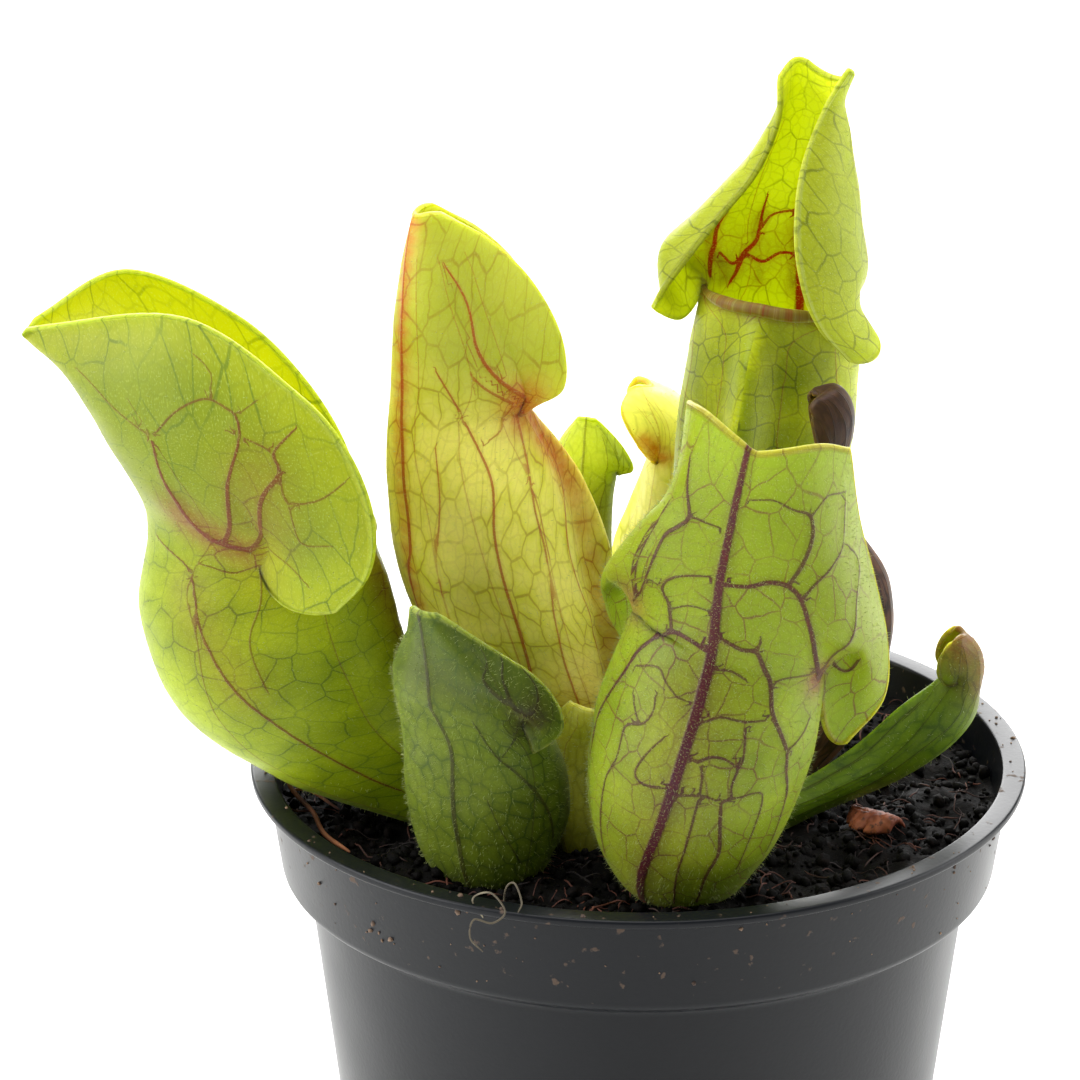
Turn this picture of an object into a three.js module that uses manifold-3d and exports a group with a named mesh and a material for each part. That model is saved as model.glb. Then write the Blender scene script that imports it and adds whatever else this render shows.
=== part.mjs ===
// A potted purple pitcher plant: a moulded nursery pot filled with peat, a creeping rhizome with roots,
// and pitcher leaves that stand in holes in the peat.
// Millimetres, +Z up. The origin is the centre of the pot's base, on the surface that the pot stands on.
import * as THREE from "three";
import { mergeVertices } from "three/addons/utils/BufferGeometryUtils.js";
import Module from "manifold-3d";

const wasm = await Module();
wasm.setup();

// Pot: a 9 cm round nursery pot with a flanged rim, a wider band under it and a tapered body
const POT_HEIGHT = 78;
const RIM_RADIUS = 45;
const RIM_THICKNESS = 1;
const BAND_TOP_RADIUS = 43.2;
const BAND_FOOT_RADIUS = 41.5;
const BAND_HEIGHT = 12.5;
const BODY_TOP_RADIUS = 38.5;
const BASE_RADIUS = 30.6;
const WALL = 0.9;
const FLOOR = 1.2;
const POT_SEGMENTS = 40;

// Base of the pot: a flat disc, a raised ring with the drain holes, and a flat outer foot
const DISC_RADIUS = 12;
const FOOT_INNER_RADIUS = 21;
const RING_RISE = 1.5;
const DRAIN_HOLES = 6;
const DRAIN_RADIUS = 2.8;

// Peat: its surface is 5 mm under the rim, and everything that stands in it has a hole with this clearance
const CLEARANCE = 0.45;
const PEAT_LEVEL = 73;
const PEAT_RINGS = 7;
const PEAT_SEGMENTS = 40;
const PEAT_BUMP = 0.5;

// Leaves: their feet are 3 mm under the peat, and their blades are 0.7 mm thick
const FOOT_LEVEL = 70;
const HALF_THICKNESS = 0.35;
const WING_ANGLE = 0.2;
const LIP_RADIUS = 1;

// Rhizome and roots
const RHIZOME_LEVEL = 64.2;
const RHIZOME_RADIUS = 3.4;
const ROOT_RADIUS = 1;
const ROOT_DROP = 30;
const ROOT_STARTS = [[-12, -14], [-4, -13], [5, -6], [9, 0], [8, 8], [-4, 8]];

// Dead flake of leaf on the peat
const FLAKE_SIZE = [3.6, 2.3];
const FLAKE_LIFT = 1.3;
const FLAKE_PLACE = [27, -11.3, 74.4];
const FLAKE_TURN = -50;

const radians = THREE.MathUtils.degToRad;

// Catmull-Rom value at t, from 0 to 1, through numbers that are spaced equally.
function spline(values, t) {
  const last = values.length - 1;
  const place = THREE.MathUtils.clamp(t, 0, 1) * last;
  const i = Math.min(Math.floor(place), last - 1);
  const f = place - i;
  const p1 = values[i];
  const p2 = values[i + 1];
  const p0 = i > 0 ? values[i - 1] : 2 * p1 - p2;
  const p3 = i + 2 <= last ? values[i + 2] : 2 * p2 - p1;
  const bend = 2 * p0 - 5 * p1 + 4 * p2 - p3;
  return 0.5 * (2 * p1 + (p2 - p0) * f + bend * f ** 2 + (3 * p1 - p0 - 3 * p2 + p3) * f ** 3);
}

// The same through points, with one spline for each coordinate.
function splinePoint(points, t) {
  return points[0].map((_, axis) => spline(points.map((point) => point[axis]), t));
}

// A geometry from points and triangles.
function geometryOf(points, triangles) {
  const geometry = new THREE.BufferGeometry().setFromPoints(points);
  geometry.setIndex(triangles.flat());
  geometry.computeVertexNormals();
  return geometry;
}

// A closed geometry as a solid, for cuts and joins.
function solidOf(geometry) {
  const bare = geometry.clone();
  bare.deleteAttribute("normal");
  bare.deleteAttribute("uv");
  const merged = mergeVertices(bare.toNonIndexed(), 1e-4);
  const vertProperties = new Float32Array(merged.attributes.position.array);
  const triVerts = new Uint32Array(merged.index.array);
  return new wasm.Manifold(new wasm.Mesh({ numProp: 3, vertProperties, triVerts }));
}

// A solid back as a geometry.
function geometryFrom(solid) {
  const { vertProperties, triVerts } = solid.getMesh();
  const geometry = new THREE.BufferGeometry();
  geometry.setAttribute("position", new THREE.BufferAttribute(vertProperties, 3));
  geometry.setIndex(new THREE.BufferAttribute(triVerts, 1));
  geometry.computeVertexNormals();
  return geometry;
}

// Adds two triangles for each cell between two rows of point numbers. The diagonals lean the other way
// where they are mirrored.
function stitch(triangles, lower, upper, closed = false, mirrored = false) {
  const cells = closed ? lower.length : lower.length - 1;
  for (let i = 0; i < cells; i++) {
    const j = (i + 1) % lower.length;
    if (mirrored) {
      triangles.push([lower[i], lower[j], upper[i]], [lower[j], upper[j], upper[i]]);
    } else {
      triangles.push([lower[i], lower[j], upper[j]], [lower[i], upper[j], upper[i]]);
    }
  }
}

// Closes a blade's edge between a row of points on its inner face and the row beside it on its outer face.
// The diagonal of each cell follows from the point numbers, so that two pieces with a common edge fit.
function closeEdge(triangles, inner, outer, closed) {
  const cells = closed ? inner.length : inner.length - 1;
  for (let i = 0; i < cells; i++) {
    const j = (i + 1) % inner.length;
    if (outer[i] < outer[j]) {
      triangles.push([inner[i], inner[j], outer[j]], [inner[i], outer[j], outer[i]]);
    } else {
      triangles.push([inner[i], inner[j], outer[i]], [inner[j], outer[j], outer[i]]);
    }
  }
}

// Closes a ring of point numbers with a fan round its centre, on the side that flip chooses.
function closeRing(points, triangles, ring, flip) {
  const centre = new THREE.Vector3();
  ring.forEach((n) => centre.add(points[n]));
  const middle = points.push(centre.divideScalar(ring.length)) - 1;
  ring.forEach((n, i) => {
    const next = ring[(i + 1) % ring.length];
    triangles.push(flip ? [middle, next, n] : [middle, n, next]);
  });
}

// Moves each point along its normal, worked out from the triangles that meet there.
function pushedOut(points, triangles, distance) {
  const normals = geometryOf(points, triangles).attributes.normal;
  return points.map((point, i) =>
    point.clone().addScaledVector(new THREE.Vector3().fromBufferAttribute(normals, i), distance),
  );
}

// A closed tube of varying radius along a smooth path, ended by flat caps, and thicker all over by room.
function taperedTube(path, radii, sides, steps, room) {
  const curve = new THREE.CatmullRomCurve3(path.map((point) => new THREE.Vector3(...point)));
  const frames = curve.computeFrenetFrames(steps);
  const points = [];
  const triangles = [];
  const rings = [];
  for (let i = 0; i <= steps; i++) {
    const centre = curve.getPointAt(i / steps);
    const radius = spline(radii, i / steps);
    const ring = [];
    for (let k = 0; k < sides; k++) {
      const angle = (2 * Math.PI * k) / sides;
      const point = centre.clone();
      point.addScaledVector(frames.normals[i], radius * Math.cos(angle));
      point.addScaledVector(frames.binormals[i], radius * Math.sin(angle));
      ring.push(points.push(point) - 1);
    }
    rings.push(ring);
    if (i > 0) stitch(triangles, rings[i - 1], ring, true);
  }
  closeRing(points, triangles, rings[0], true);
  closeRing(points, triangles, rings[steps], false);
  return geometryOf(room > 0 ? pushedOut(points, triangles, room) : points, triangles);
}

// The pitchers. Each has its own frame: y towards the side that its mouth is on, z up, x across, foot at 0.
//   foot, turn, roll: place of the foot, direction of the mouth side in degrees from +X, lean in degrees
//   back, front: midrib and seam of the tube from the foot to the mouth, as [y, z]
//   slant: slope of the mouth across the leaf
//   width, wing, bow: half width, height of the wing on the seam and sideways shift, from foot to mouth
//   corner: angle round the mouth, from the midrib, where the hood's edge leaves it
//   rib: midrib of the hood, as [y, z]
//   right, left: margins of the hood's halves, as [x, y, z] with x outwards, and how far the blade has
//   curled where it meets them, in degrees from straight out
//   lobeStart, lobeEnd: how the hood's lower edge leaves the corner and meets the margin, as Bezier handles
//   leave, arrive: how far the blade runs straight out from the midrib, and straight in to the margin, as a
//   share of the way between them
// A half may have its own lobeStart, lobeEnd, leave or arrive.
//   hollow: where the hollow of the tube starts, from 0 at the foot to 1 at the mouth
//   grid: cells along the tube, round the back and the front of half a ring, up the hood, across its lobe
const LARGE = { rows: 9, back: 5, front: 3, hood: 7, lobe: 3 };
const SMALL = { rows: 7, back: 4, front: 3, hood: 4, lobe: 2 };
const PITCHERS = {
  pitcher_left: {
    foot: [2, -12], turn: -12, roll: 0, slant: 0, colour: "#8fb62e",
    back: [[-4, -1.5], [-17, -0.5], [-33, 4], [-46.6, 9.8], [-56, 17], [-60, 27.5], [-58.8, 36.3]],
    front: [[-4, 1.5], [-15, 5.5], [-23.5, 11], [-29, 18], [-31, 25.5], [-32.5, 32], [-34, 37.5]],
    width: [2.2, 4.5, 9, 12.5, 14, 13.5, 11.5],
    wing: [0, 0.4, 0.8, 1, 1, 0.6, 0],
    bow: [-3.4, -3.5, -2.6, -1, 0, 0, 0],
    corner: 104, settle: 0.6, hollow: 0.3, leave: [0.45, 0.45], arrive: [0.4, 0.4],
    rib: [[-58.8, 36.3], [-59.3, 39.8], [-60.6, 43.4], [-62.5, 47.8], [-65.2, 52.3], [-68.6, 56],
      [-73.4, 59]],
    right: {
      margin: [[14, -34, 33.8], [15.5, -30, 39], [16, -29.2, 45.5], [15.5, -32, 53], [14.5, -38, 59.3],
        [11, -52, 66], [1.8, -72.6, 60.2]],
      curl: [95, 95, 95, 95, 95, 80, 60],
    },
    left: {
      margin: [[13, -41, 28], [15.5, -39, 33], [16, -40, 41], [15.5, -45, 50], [15, -53, 57.5],
        [12, -65, 63], [1.8, -72.6, 60.2]],
      curl: [95, 95, 95, 95, 95, 80, 60],
    },
    lobeStart: [0.7, 1.6, -4.2], lobeEnd: [0.4, 4.2, 1.3], grid: LARGE,
  },
  pitcher_back: {
    foot: [-2, 3], turn: 16, roll: 0, slant: 0, colour: "#c9c75c",
    back: [[-3, -1], [-8, 3.6], [-15, 11.5], [-21.6, 21.3], [-25.8, 32.3], [-27.2, 43.3], [-27, 52.6]],
    front: [[-2, 1.5], [-2, 7.5], [-2, 14.5], [-3.5, 22.3], [-5.5, 30.9], [-8, 42.2], [-11.8, 52]],
    width: [1.8, 3, 6.2, 9.3, 10.5, 9, 5.5],
    wing: [0, 1, 3, 4.5, 4.5, 3, 0],
    bow: [0, 0, 0, 0, 0, 0, 0],
    corner: 140, settle: 0.6, hollow: 0.3, leave: [0.4, 0.4], arrive: [0.4, 0.4],
    rib: [[-27, 52.6], [-26.6, 59.6], [-25.9, 65.4], [-25.2, 70.6], [-24.2, 75.2]],
    right: {
      margin: [[3, -11.2, 52.6], [3.5, -8.2, 54.7], [3.5, -8.6, 60.8], [2.8, -11.8, 67.3], [2, -16.5, 72.4],
        [1.8, -21.6, 75.8]],
      curl: [110, 110, 110, 110, 100, 80],
    },
    lobeStart: [0.7, 0.7, -0.4], lobeEnd: [0.1, 1.1, 0.3], grid: LARGE,
  },
  pitcher_tall: {
    foot: [8, 2], turn: -108, roll: -4.7, slant: 0, colour: "#a3c53c",
    back: [[-2, -1.5], [-6, 8], [-11, 20], [-15, 32], [-18, 43], [-19.5, 52], [-19, 60]],
    front: [[-1, 1.5], [1, 10], [2, 22], [1, 34], [-1, 46], [-2, 55], [-2.5, 61.9]],
    width: [2.2, 4.5, 7, 8.8, 9.8, 9.5, 8.7],
    wing: [0, 1, 3, 4, 4, 3, 0],
    bow: [0, 0, 0, 0, 0, 0, 0],
    corner: 100, settle: 0.32, hollow: 0.3, leave: [0.6, 0.55, 0.5, 0.45, 0.45, 0.45],
    arrive: [1, 0.62, 0.45, 0.42, 0.4, 0.35],
    rib: [[-19, 60], [-19, 65], [-18, 71], [-17, 77], [-15.5, 83], [-13, 88.6]],
    right: {
      margin: [[13.6, -4.8, 58.8], [12, -3.6, 61.8], [9.8, -4.2, 65.8], [7, -6.2, 70.6], [3.8, -9, 76],
        [2.2, -10.4, 82], [2.6, -10.8, 87.4]],
      curl: [120, 140, 150, 150, 150, 120, 60],
      lobeStart: [2.2, 0.5, -5], lobeEnd: [3, 1, 1.6],
    },
    left: {
      margin: [[10.6, -3.6, 57.6], [8.4, -0.8, 61.8], [6.6, 0.4, 66.6], [5, 0, 72.6], [3.8, -3.4, 79],
        [4, -7.8, 84.6], [5.4, -10, 88.6]],
      curl: [120, 140, 150, 150, 150, 140, 120],
      lobeStart: [6, 0.5, -2], lobeEnd: [-3, 2, 1],
      arrive: [0.6, 0.42, 0.46, 0.55, 0.6, 0.45],
    },
    grid: LARGE,
  },
  pitcher_front: {
    foot: [7.4, -9.5], turn: 72, roll: 12, slant: -0.08, colour: "#93b843",
    back: [[-4, -1.5], [-14, -0.5], [-22.5, 4.5], [-27, 12], [-28.5, 21], [-27.5, 28.6], [-25, 36]],
    front: [[-3.5, 2], [-6, 6], [-7, 12], [-6.5, 18], [-5.5, 24], [-5, 29], [-5, 33.8]],
    width: [2.2, 5, 8.5, 11, 12, 11.6, 10.6],
    wing: [0, 1, 2, 2.5, 2.5, 1.5, 0],
    bow: [0, 0, 0, 0, 0, 0, 0],
    corner: 95, settle: 0.5, hollow: 0.3, leave: [0.5, 0.5], arrive: [0.4, 0.4],
    rib: [[-25, 36], [-24.5, 41], [-24.5, 45.5], [-24.5, 51], [-24.5, 56], [-25, 60.8]],
    right: {
      margin: [[14.4, -10, 24], [16.8, -7.4, 29.5], [15.6, -7, 36], [12.6, -8, 43.4], [9.8, -11, 51.2],
        [8.2, -17, 61.1]],
      curl: [100, 100, 100, 95, 90, 70],
      lobeStart: [0.6, 1.5, -5], lobeEnd: [2.6, 1, 0.2],
    },
    left: {
      margin: [[12.4, -12, 28.5], [15.8, -8, 30.4], [15.6, -8, 34.9], [12.8, -10, 42.7], [10.1, -13, 49.4],
        [9.8, -18, 61.1]],
      curl: [100, 100, 100, 95, 90, 70],
      lobeStart: [2.5, 1.5, -3.5], lobeEnd: [1.6, 1.2, 0.6],
    },
    grid: LARGE,
  },
  pitcher_small: {
    foot: [-12.9, -12.3], turn: 52, roll: 4, slant: 0, colour: "#6f8f3f",
    back: [[-3, -1.5], [-11, 0], [-14.5, 4.5], [-16, 10.5], [-16.8, 16], [-18.2, 21.5], [-20.8, 27.5]],
    front: [[-2.5, 1.5], [-1.5, 4], [-0.5, 8], [0, 12], [-1, 16], [-3, 19.5], [-6, 22.5]],
    width: [2.2, 5.4, 8, 9.3, 9.4, 8.8, 7.6],
    wing: [0, 0.5, 1.5, 2, 2, 1, 0],
    bow: [0, 0, 0, 0, 0, 0, 0],
    corner: 92, settle: 0.5, hollow: 0.3, leave: [0.45, 0.45], arrive: [0.4, 0.4, 0.25],
    rib: [[-20.8, 27.5], [-21.4, 30.4], [-22.2, 33.6], [-23.4, 37], [-25.4, 40.2]],
    right: {
      margin: [[9.6, -11.4, 22], [11, -10.2, 24.2], [10.8, -11.2, 27.6], [8.8, -14, 31], [5.2, -18.6, 34.6],
        [1.8, -24.6, 40.2]],
      curl: [100, 100, 100, 95, 70, 40],
      lobeStart: [1.6, 1.2, -2.4], lobeEnd: [1.4, 0.8, 1.4],
    },
    grid: LARGE,
  },
  pitcher_hooded: {
    foot: [-5.5, 14], turn: 70, roll: 0, slant: 0, colour: "#9fbd52",
    back: [[-1.5, -1], [-2, 8], [-2.4, 16], [-2.8, 24], [-3, 30], [-3, 35], [-2.6, 39]],
    front: [[1, 1], [1.2, 8], [1.4, 16], [1.4, 24], [1.2, 30], [1.2, 35], [1.6, 38.5]],
    width: [1.4, 1.8, 2.2, 2.6, 2.6, 2.6, 3],
    wing: [0, 0.4, 0.8, 1, 1, 0.8, 0],
    bow: [0, 0, 0, 0, 0, 0, 0],
    corner: 95, settle: 0.5, hollow: 0.75, leave: [0.5, 0.5], arrive: [0.4, 0.4],
    rib: [[-2.6, 39], [-2.4, 41], [-2, 43], [-1.2, 45]],
    right: {
      margin: [[3.8, 0.5, 38.2], [4.7, 0.8, 39], [3.4, 0.2, 41.8], [1, -1, 45]],
      curl: [60, 60, 60, 50],
    },
    lobeStart: [0.6, 0.1, -0.1], lobeEnd: [0.6, 0, 0.1], grid: SMALL,
  },
  pitcher_pale: {
    foot: [4.5, 24], turn: 172, roll: 0, slant: 0, colour: "#d9d884",
    back: [[-1, -1], [-1.8, 6], [-2.3, 12.5], [-2.6, 19], [-2.4, 25.5], [-2, 31.5], [-1.8, 36.8]],
    front: [[1, 1], [3.4, 6], [5.6, 12.5], [6.6, 19], [5.8, 25.5], [4, 31], [2.8, 36.4]],
    width: [1.6, 2.6, 3.4, 4, 4, 3.4, 2.6],
    wing: [0, 0.4, 0.8, 1, 1, 0.8, 0],
    bow: [0, 0, 0, 0, 0, 0, 0],
    corner: 120, settle: 0.5, hollow: 0.6, leave: [0.4, 0.4], arrive: [0.4, 0.4],
    rib: [[-1.8, 36.8], [-2.4, 39.2], [-2, 41.6], [0.2, 43.8], [2.8, 44.8]],
    right: {
      margin: [[2.6, 3, 37.2], [3.2, 4, 39], [3.2, 5.2, 41.2], [2.8, 5.8, 43], [1.8, 5, 44.8]],
      curl: [100, 110, 110, 100, 80],
    },
    lobeStart: [0.6, 0.6, -0.4], lobeEnd: [0.1, 0.9, 0.4], grid: SMALL,
  },
  pitcher_bud: {
    foot: [-5.6, -13], turn: 80, roll: 0, slant: 0, colour: "#aeb349",
    back: [[-2, -1], [-3.4, 3], [-3, 6.6], [-1.8, 9.2], [-0.4, 11.6], [0.6, 13.6], [1.2, 15.2]],
    front: [[-1, 1], [1, 3.6], [2.2, 6.8], [3.2, 9.2], [4, 11.6], [4.4, 13.4], [4.6, 15]],
    width: [1.6, 3, 4, 4.6, 4.8, 4.4, 3.8],
    wing: [0, 0.2, 0.4, 0.5, 0.5, 0.3, 0],
    bow: [0, 0, 0, 0, 0, 0, 0],
    corner: 110, settle: 0.5, hollow: 0.75, leave: [0.4, 0.4], arrive: [0.4, 0.4],
    rib: [[1.2, 15.2], [1.3, 16.4], [1.5, 17.4], [1.9, 18.4]],
    right: {
      margin: [[4.6, 4.2, 15], [4.5, 4.4, 16.2], [3.9, 4.4, 17.4], [3, 3.8, 18.4]],
      curl: [70, 70, 70, 60],
    },
    lobeStart: [0.5, 0.25, 0], lobeEnd: [0.25, 0.5, 0], grid: SMALL,
  },
  pitcher_right: {
    foot: [8.5, -6.5], turn: 178, roll: 0, slant: 0, colour: "#7d9a2a",
    back: [[-3, -1.5], [-10.7, 3.8], [-17, 7], [-22.5, 9.8], [-27, 13.2], [-29.6, 16.8], [-30.4, 20.4]],
    front: [[-2.5, 1.5], [-8, 5.6], [-13, 8.4], [-17.5, 11.6], [-21.2, 15.6], [-24.2, 18.6], [-26.8, 21.7]],
    width: [1.6, 2.2, 2.6, 2.8, 2.8, 2.6, 2.2],
    wing: [0, 0.4, 1, 1.2, 1, 0.6, 0],
    bow: [0, 0, 0, 0, 0, 0, 0],
    corner: 120, settle: 0.5, hollow: 0.85, leave: [0.4, 0.4], arrive: [0.4, 0.4],
    rib: [[-30.4, 20.4], [-30.6, 22.4], [-30, 24.6], [-28.4, 26.2]],
    right: {
      margin: [[2, -26.2, 21.2], [2.4, -25.6, 22.8], [2.2, -26, 24.8], [1.8, -27.2, 26.4]],
      curl: [100, 110, 110, 80],
    },
    lobeStart: [0.4, 0.4, -0.3], lobeEnd: [0.1, 0.6, 0.2], grid: SMALL,
  },
  pitcher_dead: {
    foot: [10.5, -0.8], turn: 183, roll: -4, slant: 0, colour: "#5a3a26",
    back: [[-2, -1], [-9, 5], [-15, 13], [-17.8, 21.5], [-17.8, 30.5], [-13.4, 38.5], [-12.2, 46.6]],
    front: [[-1, 1], [-6, 7], [-11, 14], [-13.6, 21.5], [-13.6, 30], [-11, 38], [-10, 46]],
    width: [1.2, 1.3, 1.6, 2, 2, 1.3, 1.3],
    wing: [0, 0.2, 0.4, 0.5, 0.4, 0.3, 0],
    bow: [0, 0, 0, 0, 0, 0, 0],
    corner: 110, settle: 0.5, hollow: 1, leave: [0.4, 0.4], arrive: [0.4, 0.4],
    rib: [[-12.2, 46.6], [-13, 50], [-12.8, 53], [-11.4, 55], [-9.6, 54.2]],
    right: {
      margin: [[1.8, -9.6, 46.8], [2.1, -9.2, 49], [2, -8.8, 51], [1.7, -8.6, 52.6], [1.5, -8.6, 53.4]],
      curl: [100, 110, 110, 100, 80],
    },
    lobeStart: [0.4, 0.4, -0.2], lobeEnd: [0.1, 0.6, 0.2], grid: SMALL,
  },
};

// Point of the tube at t, from 0 at the foot to 1 at the mouth, and at an angle round it, from 0 at the
// midrib to 180 degrees at the seam: an ellipse between back and front, with the wing as a ridge.
function tubePoint(leaf, t, angle, wing) {
  const back = splinePoint(leaf.back, t);
  const front = splinePoint(leaf.front, t);
  const half = [(front[0] - back[0]) / 2, (front[1] - back[1]) / 2];
  const fade = Math.exp(-(((Math.PI - Math.abs(angle)) / WING_ANGLE) ** 2));
  const ridge = (wing * fade * spline(leaf.wing, t)) / Math.hypot(...half);
  const reach = 1 - Math.cos(angle) + ridge;
  const swing = spline(leaf.width, t) * Math.sin(angle);
  const rise = back[1] + half[1] * reach + leaf.slant * swing * t ** 3;
  return new THREE.Vector3(swing + spline(leaf.bow, t), back[0] + half[0] * reach, rise);
}

// Unit vector along the hood's midrib at t.
function ribDirection(leaf, t) {
  const step = 1e-3;
  const a = splinePoint(leaf.rib, Math.max(t - step, 0));
  const b = splinePoint(leaf.rib, Math.min(t + step, 1));
  return new THREE.Vector3(0, b[0] - a[0], b[1] - a[1]).normalize();
}

// Lowest row of a hood half: the back of the mouth's ring to the corner, then the free edge of the lobe.
function hoodStart(leaf, half, s) {
  const corner = radians(leaf.corner);
  const onRing = leaf.grid.back / (leaf.grid.back + leaf.grid.lobe);
  if (s <= onRing) return tubePoint(leaf, 1, (corner * s) / onRing, 0);
  const from = tubePoint(leaf, 1, corner, 0);
  const margin = new THREE.Vector3(...half.margin[0]);
  const curve = new THREE.CubicBezierCurve3(
    from,
    from.clone().add(new THREE.Vector3(...half.lobeStart)),
    margin.clone().sub(new THREE.Vector3(...half.lobeEnd)),
    margin,
  );
  return curve.getPoint((s - onRing) / (1 - onRing));
}

// Point of the hood at t, from 0 at the mouth to 1 at the tip, and at s, from 0 at the midrib to 1 at the
// margin: a Bezier curve that leaves the midrib sideways and meets the margin curled, blended near the
// mouth into the lowest row.
function hoodPoint(leaf, side, s, t) {
  const half = { ...leaf, ...(side < 0 && leaf.left ? leaf.left : leaf.right) };
  const rib = new THREE.Vector3(0, ...splinePoint(leaf.rib, t));
  const rib0 = new THREE.Vector3(0, ...leaf.rib[0]);
  const margin = new THREE.Vector3(...splinePoint(half.margin, t));
  const margin0 = new THREE.Vector3(...half.margin[0]);
  const across = new THREE.Vector3(1, 0, 0);
  const along = ribDirection(leaf, t);
  const inward = new THREE.Vector3(0, along.z, -along.y);
  const curl = radians(spline(half.curl, t));
  const meet = across.clone().multiplyScalar(Math.cos(curl)).addScaledVector(inward, Math.sin(curl));
  const chord = rib.distanceTo(margin);
  const curve = new THREE.CubicBezierCurve3(
    rib,
    rib.clone().addScaledVector(across, chord * spline(half.leave, t)),
    margin.clone().addScaledVector(meet, -chord * spline(half.arrive, t)),
    margin,
  );
  const shift = rib.clone().sub(rib0).multiplyScalar(1 - s);
  shift.addScaledVector(margin.clone().sub(margin0), s);
  const settled = THREE.MathUtils.smoothstep(t, 0, leaf.settle);
  const point = hoodStart(leaf, half, s).add(shift).lerp(curve.getPoint(s), settled);
  point.x *= side;
  return point;
}

// Angles of the mouth's ring: across the back from corner to corner, then round the front, closer together
// at the seam.
function ringAngles(leaf) {
  const { back, front } = leaf.grid;
  const corner = radians(leaf.corner);
  const angles = [];
  for (let i = -back; i <= back; i++) angles.push((corner * i) / back);
  const toSeam = (i) => corner + (Math.PI - corner) * (1 - (1 - i / front) ** 1.35);
  for (let i = 1; i <= front; i++) angles.push(toSeam(i));
  for (let i = front - 1; i > 0; i--) angles.push(-toSeam(i));
  return angles;
}

// The middle surface of a pitcher from a row of the tube upwards, with its lower end closed. It gives the
// triangles of the tube, the ring of the mouth, and the hood as strips from the midrib to a margin, each
// with its triangles and its edge as a loop of point numbers.
function surfaceOf(leaf, wing, firstRow) {
  const { rows, back, hood, lobe } = leaf.grid;
  const angles = ringAngles(leaf);
  const points = [];
  const tube = [];
  const rings = [];
  for (let row = firstRow; row <= rows; row++) {
    rings.push(angles.map((angle) => points.push(tubePoint(leaf, row / rows, angle, wing)) - 1));
    if (rings.length > 1) stitch(tube, rings.at(-2), rings.at(-1), true);
  }
  closeRing(points, tube, rings[0], true);
  const mouth = rings.at(-1);
  const reach = back + lobe;
  const net = [];
  for (let row = 0; row <= hood; row++) {
    const line = [];
    for (let column = -reach; column <= reach; column++) {
      const onRing = row === 0 && Math.abs(column) <= back;
      const side = column < 0 ? -1 : 1;
      const point = onRing ? null : hoodPoint(leaf, side, Math.abs(column) / reach, row / hood);
      line.push(onRing ? mouth[column + back] : points.push(point) - 1);
    }
    net.push(line);
  }
  const strips = [];
  for (let row = 1; row <= hood; row++) {
    for (const [from, to] of [[0, reach + 1], [reach, 2 * reach + 1]]) {
      const lower = net[row - 1].slice(from, to);
      const upper = net[row].slice(from, to);
      const sheet = [];
      stitch(sheet, lower, upper, false, from === 0);
      strips.push({ sheet, loop: [...lower, ...upper.reverse()] });
    }
  }
  return { points, tube, mouth, strips };
}

// The roll of the lip at one place on the front of the mouth: three points on a circle that turns outwards,
// small at the corners and at its widest in front, and less on a leaf with a narrow mouth.
function lipRoll(outer, inner, up, share, depth) {
  const out = outer.clone().sub(inner).normalize();
  const widest = THREE.MathUtils.clamp((depth - 3) / 4, 0, 1);
  const full = widest * THREE.MathUtils.smoothstep(Math.min(share, 1 - share), 0, 0.3);
  const radius = THREE.MathUtils.lerp(HALF_THICKNESS, LIP_RADIUS, full);
  const centre = outer.clone().add(inner).divideScalar(2);
  centre.addScaledVector(out, 0.35 * full).addScaledVector(up, 0.1 * full);
  return [[45, -30], [90, 50], [135, 130]].map(([small, large]) => {
    const angle = radians(THREE.MathUtils.lerp(small, large, full));
    const point = centre.clone().addScaledVector(out, radius * Math.cos(angle));
    return point.addScaledVector(up, radius * Math.sin(angle));
  });
}

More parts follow.
